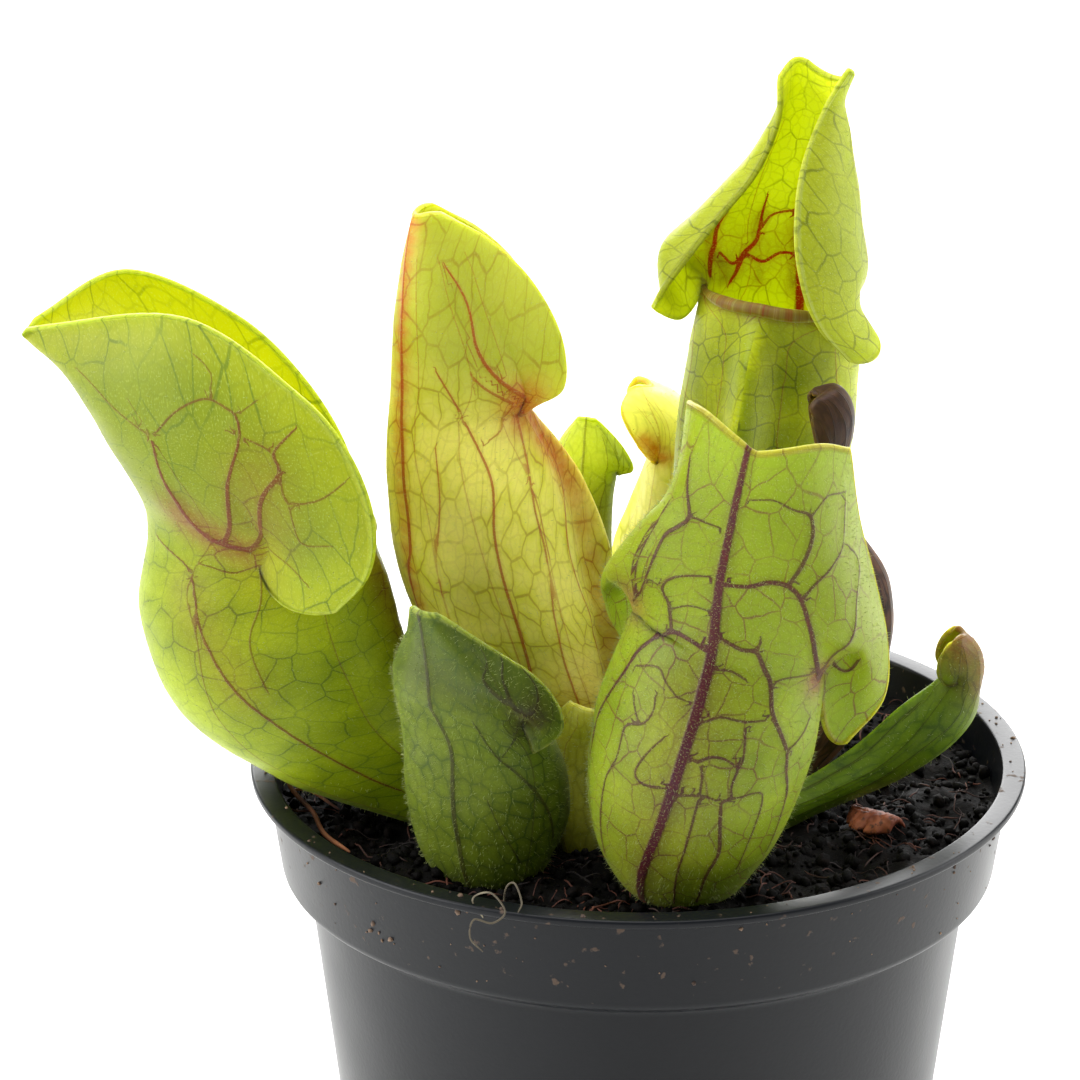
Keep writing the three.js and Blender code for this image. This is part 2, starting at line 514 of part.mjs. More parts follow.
// A pitcher: its surface moved out and in by half the blade's thickness. The tube, with the lip rolled over
// the front of its mouth, and the strips of the hood are closed one by one and then joined, so that a lobe
// which lies against the tube melts into it.
function pitcherGeometry(leaf) {
  const { back, rows } = leaf.grid;
  const outer = surfaceOf(leaf, 1, 0);
  const inner = surfaceOf(leaf, 0, Math.min(Math.round(leaf.hollow * rows), rows - 1));
  const all = ({ tube, strips }) => [...tube, ...strips.flatMap(({ sheet }) => sheet)];
  const points = pushedOut(outer.points, all(outer), HALF_THICKNESS);
  const count = points.length;
  points.push(...pushedOut(inner.points, all(inner), -HALF_THICKNESS));
  const shifted = (numbers) => numbers.map((n) => n + count);
  const flipped = ([a, b, c]) => shifted([a, c, b]);
  const tube = [...outer.tube, ...inner.tube.map(flipped)];
  const innerMouth = shifted(inner.mouth);
  const backOf = (mouth) => mouth.slice(0, 2 * back + 1).reverse();
  closeEdge(tube, backOf(innerMouth), backOf(outer.mouth), false);
  const angles = ringAngles(leaf);
  const chains = [];
  const depth = (leaf.front.at(-1)[0] - leaf.back.at(-1)[0]) / 2;
  for (let i = 2 * back; i <= angles.length; i++) {
    const k = i % angles.length;
    const share = (i - 2 * back) / (angles.length - 2 * back);
    const up = tubePoint(leaf, 1, angles[k], 0).sub(tubePoint(leaf, 0.95, angles[k], 0)).normalize();
    const roll = lipRoll(points[outer.mouth[k]], points[innerMouth[k]], up, share, depth);
    chains.push([outer.mouth[k], ...roll.map((point) => points.push(point) - 1), innerMouth[k]]);
  }
  for (let i = 1; i < chains.length; i++) stitch(tube, chains[i], chains[i - 1]);
  const first = chains[0];
  const last = chains.at(-1);
  for (let i = 1; i < first.length - 1; i++) {
    tube.push([first[0], first[i], first[i + 1]], [last[0], last[i + 1], last[i]]);
  }
  let solid = solidOf(geometryOf(points, tube));
  outer.strips.forEach(({ sheet, loop }, i) => {
    const blade = [...sheet, ...inner.strips[i].sheet.map(flipped)];
    closeEdge(blade, shifted(inner.strips[i].loop), loop, true);
    solid = solid.add(solidOf(geometryOf(points, blade)));
  });
  return geometryFrom(solid);
}

// The room that a pitcher's foot needs in the peat: its tube up to where it is clear of the surface, with
// half as many sides, moved out by about twice the clearance.
function footRoom(leaf, matrix) {
  const points = [];
  const triangles = [];
  const rings = [];
  const seam = 2 * leaf.grid.back + leaf.grid.front;
  const angles = ringAngles(leaf).filter((_, i) => (i - seam) % 2 === 0);
  const drop = tubePoint(leaf, 0, 0, 0).sub(tubePoint(leaf, 0.05, 0, 0)).setLength(1);
  for (let row = 0; row <= leaf.grid.rows; row++) {
    const ring = angles.map((angle) => tubePoint(leaf, row / leaf.grid.rows, angle, 1));
    if (row === 0) {
      rings.push(ring.map((point) => points.push(point.clone().add(drop)) - 1));
    }
    rings.push(ring.map((point) => points.push(point) - 1));
    stitch(triangles, rings.at(-2), rings.at(-1), true);
    const lowest = Math.min(...ring.map((point) => point.clone().applyMatrix4(matrix).z));
    if (lowest > PEAT_LEVEL + 2 * PEAT_BUMP + 1) break;
  }
  closeRing(points, triangles, rings[0], true);
  closeRing(points, triangles, rings.at(-1), false);
  const room = pushedOut(points, triangles, HALF_THICKNESS + 2.2 * CLEARANCE);
  return solidOf(geometryOf(room, triangles).applyMatrix4(matrix));
}

// The pot, turned from the profile of its wall and floor, with drain holes in the raised ring.
function potGeometry() {
  const bandFoot = POT_HEIGHT - BAND_HEIGHT;
  const step = BAND_FOOT_RADIUS - BODY_TOP_RADIUS;
  const profile = [
    [0, 0],
    [DISC_RADIUS, 0],
    [DISC_RADIUS + RING_RISE, RING_RISE],
    [FOOT_INNER_RADIUS - RING_RISE, RING_RISE],
    [FOOT_INNER_RADIUS, 0],
    [BASE_RADIUS - 1, 0],
    [BASE_RADIUS, 1],
    [BODY_TOP_RADIUS, bandFoot - step / 2],
    [BAND_FOOT_RADIUS, bandFoot],
    [BAND_TOP_RADIUS, POT_HEIGHT - RIM_THICKNESS],
    [RIM_RADIUS - 0.3, POT_HEIGHT - RIM_THICKNESS],
    [RIM_RADIUS, POT_HEIGHT - RIM_THICKNESS / 2],
    [RIM_RADIUS - 0.3, POT_HEIGHT],
    [BAND_TOP_RADIUS - WALL + 0.3, POT_HEIGHT],
    [BAND_TOP_RADIUS - WALL, POT_HEIGHT - 0.4],
    [BAND_FOOT_RADIUS - WALL, bandFoot + WALL / 2],
    [BODY_TOP_RADIUS - WALL, bandFoot - step / 2 + WALL / 2],
    [BASE_RADIUS - WALL, FLOOR],
    [FOOT_INNER_RADIUS, FLOOR],
    [FOOT_INNER_RADIUS - RING_RISE, RING_RISE + FLOOR],
    [DISC_RADIUS + RING_RISE, RING_RISE + FLOOR],
    [DISC_RADIUS, FLOOR],
    [0, FLOOR],
  ];
  const lathe = new THREE.LatheGeometry(profile.map(([r, z]) => new THREE.Vector2(r, z)), POT_SEGMENTS);
  let pot = solidOf(lathe.rotateX(Math.PI / 2));
  for (let i = 0; i < DRAIN_HOLES; i++) {
    const drill = new THREE.CylinderGeometry(DRAIN_RADIUS, DRAIN_RADIUS, 6, 14).rotateX(Math.PI / 2);
    const angle = (2 * Math.PI * (i + 0.5)) / DRAIN_HOLES;
    const r = (DISC_RADIUS + FOOT_INNER_RADIUS) / 2;
    drill.translate(r * Math.cos(angle), r * Math.sin(angle), FLOOR);
    pot = pot.subtract(solidOf(drill));
  }
  return geometryFrom(pot);
}

// Height of the peat's crumbly surface at x, y: three crossing waves of a few millimetres.
function peatHeight(x, y) {
  const wave = Math.sin(0.55 * x + 1.3) * Math.cos(0.48 * y - 0.4);
  const cross = Math.sin(0.31 * x - 0.37 * y + 2.1);
  const fine = Math.sin(1.05 * x + 0.9 * y) * Math.cos(0.95 * x - 1.1 * y + 0.7);
  return PEAT_LEVEL + PEAT_BUMP * (wave + 0.7 * cross + 0.6 * fine);
}

// The peat: a plug that fills the pot, with a bumpy top and a hole for everything that stands in it.
function peatGeometry(rooms) {
  const bandFoot = POT_HEIGHT - BAND_HEIGHT;
  const step = BAND_FOOT_RADIUS - BODY_TOP_RADIUS;
  const gap = WALL + CLEARANCE;
  const share = (PEAT_LEVEL - bandFoot) / (BAND_HEIGHT - RIM_THICKNESS);
  const topRadius = THREE.MathUtils.lerp(BAND_FOOT_RADIUS, BAND_TOP_RADIUS, share) - gap - PEAT_BUMP / 2;
  const floor = RING_RISE + FLOOR + CLEARANCE;
  const points = [new THREE.Vector3(0, 0, peatHeight(0, 0))];
  const triangles = [];
  const rings = [];
  const addRing = (radius, height) => {
    const ring = [];
    for (let k = 0; k < PEAT_SEGMENTS; k++) {
      const angle = (2 * Math.PI * k) / PEAT_SEGMENTS;
      const x = radius * Math.cos(angle);
      const y = radius * Math.sin(angle);
      ring.push(points.push(new THREE.Vector3(x, y, height ?? peatHeight(x, y))) - 1);
    }
    rings.push(ring);
  };
  for (let i = 1; i <= PEAT_RINGS; i++) addRing((topRadius * i) / PEAT_RINGS);
  addRing(BAND_FOOT_RADIUS - gap, bandFoot + WALL / 2 + CLEARANCE);
  addRing(BODY_TOP_RADIUS - gap, bandFoot - step / 2 + WALL / 2 + CLEARANCE / 2);
  addRing(BASE_RADIUS - gap, floor);
  rings[0].forEach((n, i) => triangles.push([0, n, rings[0][(i + 1) % PEAT_SEGMENTS]]));
  for (let i = 1; i < rings.length; i++) stitch(triangles, rings[i], rings[i - 1], true);
  closeRing(points, triangles, rings.at(-1), true);
  let peat = solidOf(geometryOf(points, triangles));
  rooms.forEach((room) => {
    peat = peat.subtract(room);
  });
  return geometryFrom(peat);
}

// The rhizome: a creeping stem that branches, with roots under it. More room makes it thicker all over,
// for the hole that it lies in.
function rhizomeSolid(room) {
  const stem = (path, shares, steps) => {
    const points = path.map(([x, y]) => [x, y, RHIZOME_LEVEL]);
    const radii = shares.map((share) => RHIZOME_RADIUS * share);
    return solidOf(taperedTube(points, radii, 8, steps, room));
  };
  const main = [[-15, -14], [-5, -14], [2, -8], [9, -4], [9.5, 3], [8, 13], [5, 26]];
  let solid = stem(main, [0.8, 1, 1, 1, 0.8], 13);
  solid = solid.add(stem([[2, -8], [-4, -3], [-4, 5], [-5.5, 16]], [0.9, 1, 0.8], 8));
  solid = solid.add(stem([[2, -8], [6.5, -13.5]], [0.9, 0.8], 3));
  ROOT_STARTS.forEach(([x, y], i) => {
    const path = [0, 0.35, 0.7, 1].map((f) => {
      const swing = 5 * f * Math.sin(2.4 * i + 3 * f);
      return [x * (1 + 0.4 * f) + swing, y * (1 + 0.4 * f) - swing, RHIZOME_LEVEL - ROOT_DROP * f];
    });
    solid = solid.add(solidOf(taperedTube(path, [ROOT_RADIUS, 0.6 * ROOT_RADIUS], 5, 5, room)));
  });
  return solid;
}

// A dead flake of leaf, lying on the peat and curled along its length, and thicker all over by room.
function flakeGeometry(room) {
  const across = 4;
  const along = 6;
  const points = [];
  const triangles = [];
  const sides = [1, -1].map((side) => {
    const rows = [];
    for (let i = 0; i <= along; i++) {
      const u = (2 * i) / along - 1;
      const row = [];
      for (let j = 0; j <= across; j++) {
        const v = (2 * j) / across - 1;
        const half = FLAKE_SIZE[1] * (1 - 0.45 * u * u);
        const lift = FLAKE_LIFT * (1 - v * v) + 0.5 * u + side * HALF_THICKNESS;
        row.push(points.push(new THREE.Vector3(FLAKE_SIZE[0] * u, half * v, lift)) - 1);
      }
      rows.push(row);
    }
    return rows;
  });
  const [top, bottom] = sides;
  for (let i = 1; i <= along; i++) {
    stitch(triangles, top[i], top[i - 1]);
    stitch(triangles, bottom[i - 1], bottom[i]);
  }
  const loop = (rows) => [
    ...rows.map((row) => row[0]),
    ...rows.at(-1).slice(1),
    ...rows.slice(0, -1).reverse().map((row) => row.at(-1)),
    ...rows[0].slice(1, -1).reverse(),
  ];
  stitch(triangles, loop(bottom), loop(top), true);
  return geometryOf(room > 0 ? pushedOut(points, triangles, room) : points, triangles);
}

// The whole plant
const plant = new THREE.Group();

// Adds one piece with its colour and roughness.
function addPiece(name, geometry, colour, roughness) {
  const material = new THREE.MeshStandardMaterial({ color: colour, roughness, metalness: 0 });
  const mesh = new THREE.Mesh(geometry, material);
  mesh.name = name;
  plant.add(mesh);
  return mesh;
}

addPiece("pot", potGeometry(), "#43484f", 0.5);
addPiece("rhizome", geometryFrom(rhizomeSolid(0)), "#6b4a2e", 0.9);
const rooms = [rhizomeSolid(1.6 * CLEARANCE)];
for (const [name, leaf] of Object.entries(PITCHERS)) {
  const mesh = addPiece(name, pitcherGeometry(leaf), leaf.colour, 0.45);
  mesh.position.set(...leaf.foot, FOOT_LEVEL);
  mesh.rotation.set(0, radians(leaf.roll), radians(leaf.turn - 90), "ZYX");
  mesh.updateMatrix();
  rooms.push(footRoom(leaf, mesh.matrix));
}
const flake = addPiece("leaf_flake", flakeGeometry(0), "#8a4a2a", 0.8);
flake.position.set(...FLAKE_PLACE);
flake.rotation.set(0, 0, radians(FLAKE_TURN));
flake.updateMatrix();
rooms.push(solidOf(flakeGeometry(1.4 * CLEARANCE).applyMatrix4(flake.matrix)));
addPiece("peat", peatGeometry(rooms), "#241812", 1);

export default plant;
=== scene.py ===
# %% [markdown]
# # A potted purple pitcher plant
# The plant is a cluster of hollow leaves, called pitchers, in peat in a small nursery pot. The measured
# model is already packed with every piece at its real size, so this lesson never moves anything: it lays
# finer surfaces over the same forms and gives them their veins, hairs, colour and gloss. Lengths are
# written in millimetres, because that is how plants and pots are measured, and are turned to metres once,
# where a mesh is made.

import bpy
import numpy as np
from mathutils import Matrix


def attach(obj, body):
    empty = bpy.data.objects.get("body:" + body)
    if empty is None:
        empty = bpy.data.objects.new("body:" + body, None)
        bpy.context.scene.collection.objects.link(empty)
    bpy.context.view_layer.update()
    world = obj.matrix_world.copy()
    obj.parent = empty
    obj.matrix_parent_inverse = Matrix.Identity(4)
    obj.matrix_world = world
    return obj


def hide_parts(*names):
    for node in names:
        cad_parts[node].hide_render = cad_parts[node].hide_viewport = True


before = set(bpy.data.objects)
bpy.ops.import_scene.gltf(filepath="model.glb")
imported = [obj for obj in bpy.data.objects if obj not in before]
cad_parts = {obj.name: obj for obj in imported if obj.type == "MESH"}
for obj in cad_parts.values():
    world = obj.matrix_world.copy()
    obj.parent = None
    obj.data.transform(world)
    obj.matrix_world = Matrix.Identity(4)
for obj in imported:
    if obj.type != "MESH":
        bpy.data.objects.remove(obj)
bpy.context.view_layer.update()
MM = 0.001
print("nodes in the frame:", sorted(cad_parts))

# %% [markdown]
# ## The camera
# The plant is seen from a little above, with a long lens that keeps the pot's rim an even ellipse. The
# camera stands 650 mm from the middle of the rim and looks down by 21.4 degrees. In a square frame a
# sensor of 36 mm and a lens of 186 mm show 125 mm at that distance, so the pot's lower part is out of view.

# %% Camera
CAMERA_PLACE = (-11.4, -596.0, 338.6)
CAMERA_DIP = 21.4
LENS = 186.3
NEAREST = 10

camera_data = bpy.data.cameras.new("camera")
camera_data.lens = LENS
camera_data.clip_start = NEAREST * MM
camera = bpy.data.objects.new("camera", camera_data)
camera.location = [c * MM for c in CAMERA_PLACE]
camera.rotation_euler = (np.radians(90 - CAMERA_DIP), 0, 0)
bpy.context.scene.collection.objects.link(camera)
bpy.context.scene.camera = camera
print("camera at", CAMERA_PLACE, "mm")

# %% [markdown]
# ## Colours and nodes
# Colours are picked as the sRGB hex codes that a screen shows, but light is added up in linear numbers, so
# one function turns a code to linear. Every material below is a chain of nodes, and one function adds a
# node: it sets the node's own options, links or fills its inputs and gives back its output.


# %% Helpers for materials
def linear(code):
    """An sRGB hex colour as linear red, green, blue and an alpha of 1."""
    channels = np.array([int(code[i:i + 2], 16) for i in (1, 3, 5)]) / 255
    curved = ((channels + 0.055) / 1.055) ** 2.4
    return (*np.where(channels <= 0.04045, channels / 12.92, curved), 1.0)


def add_node(tree, kind, inputs=(), out=0, **settings):
    """Adds a node. inputs pairs an input's name or number with a value or with another node's output."""
    node = tree.nodes.new("ShaderNode" + kind)
    for name, value in settings.items():
        setattr(node, name, value)
    for name, value in dict(inputs).items():
        if isinstance(value, bpy.types.NodeSocket):
            tree.links.new(value, node.inputs[name])
        else:
            node.inputs[name].default_value = value
    return node.outputs[out] if node.outputs else None


def new_material(name):
    """An empty material with its node tree."""
    material = bpy.data.materials.new(name)
    material.use_nodes = True
    material.node_tree.nodes.clear()
    return material, material.node_tree


# Numbers of a colour Mix node's sockets: its factor, its two colours and its result.
FACTOR, FIRST, SECOND, MIXED = 0, 6, 7, 2


def layered(tree, ground, layers):
    """Lays colours over the ground one by one, each as thick as its mask says."""
    for mask, colour in layers:
        colour = linear(colour) if isinstance(colour, str) else colour
        ground = add_node(
            tree, "Mix", {FACTOR: mask, FIRST: ground, SECOND: colour}, MIXED, data_type="RGBA"
        )
    return ground


# %% [markdown]
# ## From arrays to meshes
# Each surface is worked out with numpy as a grid of points, and its faces are the cells of that grid. One
# function puts the arrays into a mesh, with a map of the surface in millimetres for patterns and a number
# per point for each thing that a material needs to know there, such as how far the nearest vein is.


# %% Helpers for meshes
TINY = 1e-12


def unit(vectors):
    """Vectors scaled to a length of 1."""
    return vectors / np.maximum(np.linalg.norm(vectors, axis=-1, keepdims=True), TINY)


def make_piece(name, points, faces, material, flat=None, fields=None):
    """A piece from points in mm and arrays of faces with 3 or 4 corners.

    flat gives a 2-D place for each corner of a face, and fields a number for each point.
    """
    corners = np.concatenate([f.ravel() for f in faces]).astype(np.int32)
    sizes = np.concatenate([np.full(len(f), f.shape[1]) for f in faces]).astype(np.int32)
    starts = (np.cumsum(sizes) - sizes).astype(np.int32)
    mesh = bpy.data.meshes.new(name)
    mesh.vertices.add(len(points))
    mesh.vertices.foreach_set("co", (points * MM).astype(np.float32).ravel())
    mesh.loops.add(len(corners))
    mesh.loops.foreach_set("vertex_index", corners)
    mesh.polygons.add(len(sizes))
    mesh.polygons.foreach_set("loop_start", starts)
    mesh.polygons.foreach_set("loop_total", sizes)
    mesh.update(calc_edges=True)
    mesh.shade_smooth()
    if flat is not None:
        layer = mesh.uv_layers.new(name="flat_mm")
        layer.data.foreach_set("uv", flat.astype(np.float32).ravel())
    for field, numbers in (fields or {}).items():
        layer = mesh.attributes.new(field, "FLOAT", "POINT")
        layer.data.foreach_set("value", numbers.astype(np.float32))
    mesh.materials.append(material)
    piece = bpy.data.objects.new(name, mesh)
    bpy.context.scene.collection.objects.link(piece)
    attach(piece, "root")
    print(f"{name}: {len(points)} points, {len(sizes)} faces")
    return piece


def cells(numbers, closed=False):
    """The four-cornered faces between rows of a grid of point numbers, closed from side to side or not."""
    if closed:
        numbers = np.concatenate([numbers, numbers[:, :1]], 1)
    low, high = numbers[:-1], numbers[1:]
    return np.stack([low[:, :-1], low[:, 1:], high[:, 1:], high[:, :-1]], -1).reshape(-1, 4)


def fan(middle, ring):
    """Three-cornered faces from a middle point to a closed ring of points."""
    return np.stack([np.full(len(ring), middle), ring, np.roll(ring, -1)], -1)


def point_normals(points, quads):
    """Unit normals of points: the sum of the diagonals' cross products of the four-cornered faces there."""
    across = points[quads[:, 2]] - points[quads[:, 0]]
    along = points[quads[:, 3]] - points[quads[:, 1]]
    normal = np.cross(across, along)
    total = np.zeros_like(points)
    for corner in range(4):
        np.add.at(total, quads[:, corner], normal)
    return unit(total)


# %% [markdown]
# ## Curves through a few values
# A leaf is described by a few sections from its foot to its tip. A Catmull-Rom curve passes through every
# value, so each number in the list is a real measure of the leaf at that height.


# %% Curves and noise
LATTICE = 256


def spline(values, t):
    """Catmull-Rom curve through equally spaced values, read at t from 0 to 1."""
    values = np.asarray(values, float)
    t = np.asarray(t, float)
    last = len(values) - 1
    place = np.clip(t, 0, 1) * last
    i = np.minimum(place.astype(int), last - 1)
    f = place - i
    ends = [2 * values[0] - values[1]], [2 * values[-1] - values[-2]]
    padded = np.concatenate([ends[0], values, ends[1]])
    p0, p1, p2, p3 = (padded[i + k] for k in range(4))
    if values.ndim > 1:
        f = f[..., None]
    bend = 2 * p0 - 5 * p1 + 4 * p2 - p3
    return 0.5 * (2 * p1 + (p2 - p0) * f + bend * f**2 + (3 * p1 - p0 - 3 * p2 + p3) * f**3)


def bezier(a, b, c, d, s):
    """Cubic Bezier curves with the ends a and d and the handles b and c, read at s."""
    s = np.asarray(s)[..., None]
    return (1 - s) ** 3 * a + 3 * (1 - s) ** 2 * s * b + 3 * (1 - s) * s**2 * c + s**3 * d


def smoothstep(x, low, high):
    """Smooth ramp from 0 at low to 1 at high."""
    x = np.clip((np.asarray(x, float) - low) / (high - low), 0, 1)
    return x * x * (3 - 2 * x)


def lumps(x, y, size, seed):
    """Smooth random hills from -1 to 1: random heights on a square lattice of that size, with soft ramps."""
    table = np.random.default_rng(seed).uniform(-1, 1, (LATTICE, LATTICE))
    px, py = np.asarray(x) / size, np.asarray(y) / size
    i, j = np.floor(px).astype(int), np.floor(py).astype(int)
    fx, fy = smoothstep(px - i, 0, 1), smoothstep(py - j, 0, 1)
    value = [[table[(i + a) % LATTICE, (j + b) % LATTICE] for b in (0, 1)] for a in (0, 1)]
    near = value[0][0] * (1 - fy) + value[0][1] * fy
    far = value[1][0] * (1 - fy) + value[1][1] * fy
    return near * (1 - fx) + far * fx


# %% [markdown]
# ## The form of a pitcher
# A pitcher is one leaf that has grown into a jug. Its stalk and body are a tube, a little flattened, with a
# keel down the front where the leaf's edges have joined. Over the mouth stands a hood, which is the open
# end of the leaf. The tube is an ellipse between its back line and its front line. The hood is a family of
# Bezier curves from the midrib out to each margin. Places on the leaf have two numbers: v runs from 0 at
# the foot over 1 at the mouth to 2 at the tip, and u from 0 at the midrib to 1 at the hood's margin.

# %% Form of a pitcher
KEEL_ANGLE = 0.2
FOOT_LEVEL = 70
LOBES_FROM = 0.75
ON_RING = {"large": 5 / 8, "small": 4 / 6}


def tube_point(leaf, t, angle, keel):
    """The tube: an ellipse between its back and front lines, with the keel as a narrow ridge on the seam."""
    t, angle = np.broadcast_arrays(np.asarray(t, float), np.asarray(angle, float))
    back = spline(leaf["back"], t)
    half = (spline(leaf["front"], t) - back) / 2
    fade = np.exp(-(((np.pi - np.abs(angle)) / KEEL_ANGLE) ** 2))
    ridge = keel * fade * spline(leaf["wing"], t) / np.hypot(half[..., 0], half[..., 1])
    reach = (1 - np.cos(angle) + ridge)[..., None]
    swing = spline(leaf["width"], t) * np.sin(angle)
    sideways = swing + spline(leaf["bow"], t)
    point = np.concatenate([sideways[..., None], back + half * reach], -1)
    point[..., 2] += leaf["slant"] * swing * t**3
    return point


def hood_start(leaf, half, s):
    """The hood's lowest row: the back of the mouth's ring to its corner, then the lobe's free edge."""
    corner = np.radians(leaf["corner"])
    on_ring = ON_RING[leaf["kind"]]
    ring = tube_point(leaf, 1, corner * np.minimum(s, on_ring) / on_ring, 0)
    start = tube_point(leaf, 1, corner, 0)
    margin = np.array(half["margin"][0], float)
    leave = start + half["lobe_start"]
    arrive = margin - half["lobe_end"]
    edge = bezier(start, leave, arrive, margin, np.clip((s - on_ring) / (1 - on_ring), 0, 1))
    return np.where((s <= on_ring)[..., None], ring, edge)


def hood_point(leaf, side, s, t):
    """The hood: Bezier curves from the midrib to the margin, blended near the mouth into the lowest row.

    A half with lobes rises at its tip between the midrib and the margin, or dips there if they are negative.
    """
    half = {**leaf, **(leaf["left"] if side < 0 and "left" in leaf else leaf["right"])}
    s, t = np.broadcast_arrays(np.asarray(s, float), np.asarray(t, float))
    rib = np.concatenate([np.zeros(t.shape + (1,)), spline(leaf["rib"], t)], -1)
    step = 1e-3
    slope = spline(leaf["rib"], np.minimum(t + step, 1)) - spline(leaf["rib"], np.maximum(t - step, 0))
    slope = unit(slope)
    margin = spline(half["margin"], t)
    curl = np.radians(spline(half["curl"], t))[..., None]
    inward = np.stack([np.zeros_like(t), slope[..., 1], -slope[..., 0]], -1)
    across = np.array([1.0, 0, 0])
    meet = np.cos(curl) * across + np.sin(curl) * inward
    chord = np.linalg.norm(rib - margin, axis=-1, keepdims=True)
    leave = rib + chord * spline(half["leave"], t)[..., None] * across
    arrive = margin - chord * spline(half["arrive"], t)[..., None] * meet
    free = bezier(rib, leave, arrive, margin, s)
    rib_shift = rib - np.array([0, *leaf["rib"][0]])
    margin_shift = margin - np.array(half["margin"][0])
    shift = rib_shift * (1 - s[..., None]) + margin_shift * s[..., None]
    settled = smoothstep(t, 0, leaf["settle"])[..., None]
    point = (hood_start(leaf, half, s) + shift) * (1 - settled) + free * settled
    point[..., 2] += half.get("lobes", 0) * np.sin(np.pi * s) * smoothstep(t, LOBES_FROM, 1)
    return point * np.array([side, 1, 1])


def placed(leaf, points):
    """Turns points of a leaf's own frame into the plant's: roll about y, turn about z, move to the foot."""
    roll, turn = np.radians(leaf["roll"]), np.radians(leaf["turn"] - 90)
    x = points[..., 0] * np.cos(roll) + points[..., 2] * np.sin(roll)
    z = points[..., 2] * np.cos(roll) - points[..., 0] * np.sin(roll)
    y = points[..., 1]
    east = x * np.cos(turn) - y * np.sin(turn) + leaf["foot"][0]
    north = x * np.sin(turn) + y * np.cos(turn) + leaf["foot"][1]
    return np.stack([east, north, z + FOOT_LEVEL], -1)


def leaf_point(leaf, u, v):
    """Any place of a leaf from its two numbers, in the plant's frame."""
    u, v = np.broadcast_arrays(np.asarray(u, float), np.asarray(v, float))
    angle = np.radians(leaf["corner"]) * u / ON_RING[leaf["kind"]]
    tube = tube_point(leaf, np.minimum(v, 1), angle, 0)
    above = np.clip(v - 1, 0, 1)
    share = np.minimum(np.abs(u), 1)
    right, left = hood_point(leaf, 1, share, above), hood_point(leaf, -1, share, above)
    hood = np.where((u < 0)[..., None], left, right)
    return placed(leaf, np.where((v > 1)[..., None], hood, tube))


# %% [markdown]
# ## The ten pitchers
# These are the measures of the leaves in mm, in each leaf's own frame: y towards the side that its mouth
# is on, z up and x across, from its foot. USUAL holds what most leaves share. Nine are alive, and the tenth
# has died and dried up behind the tall one. A pitcher may have a left half that differs from its right one.

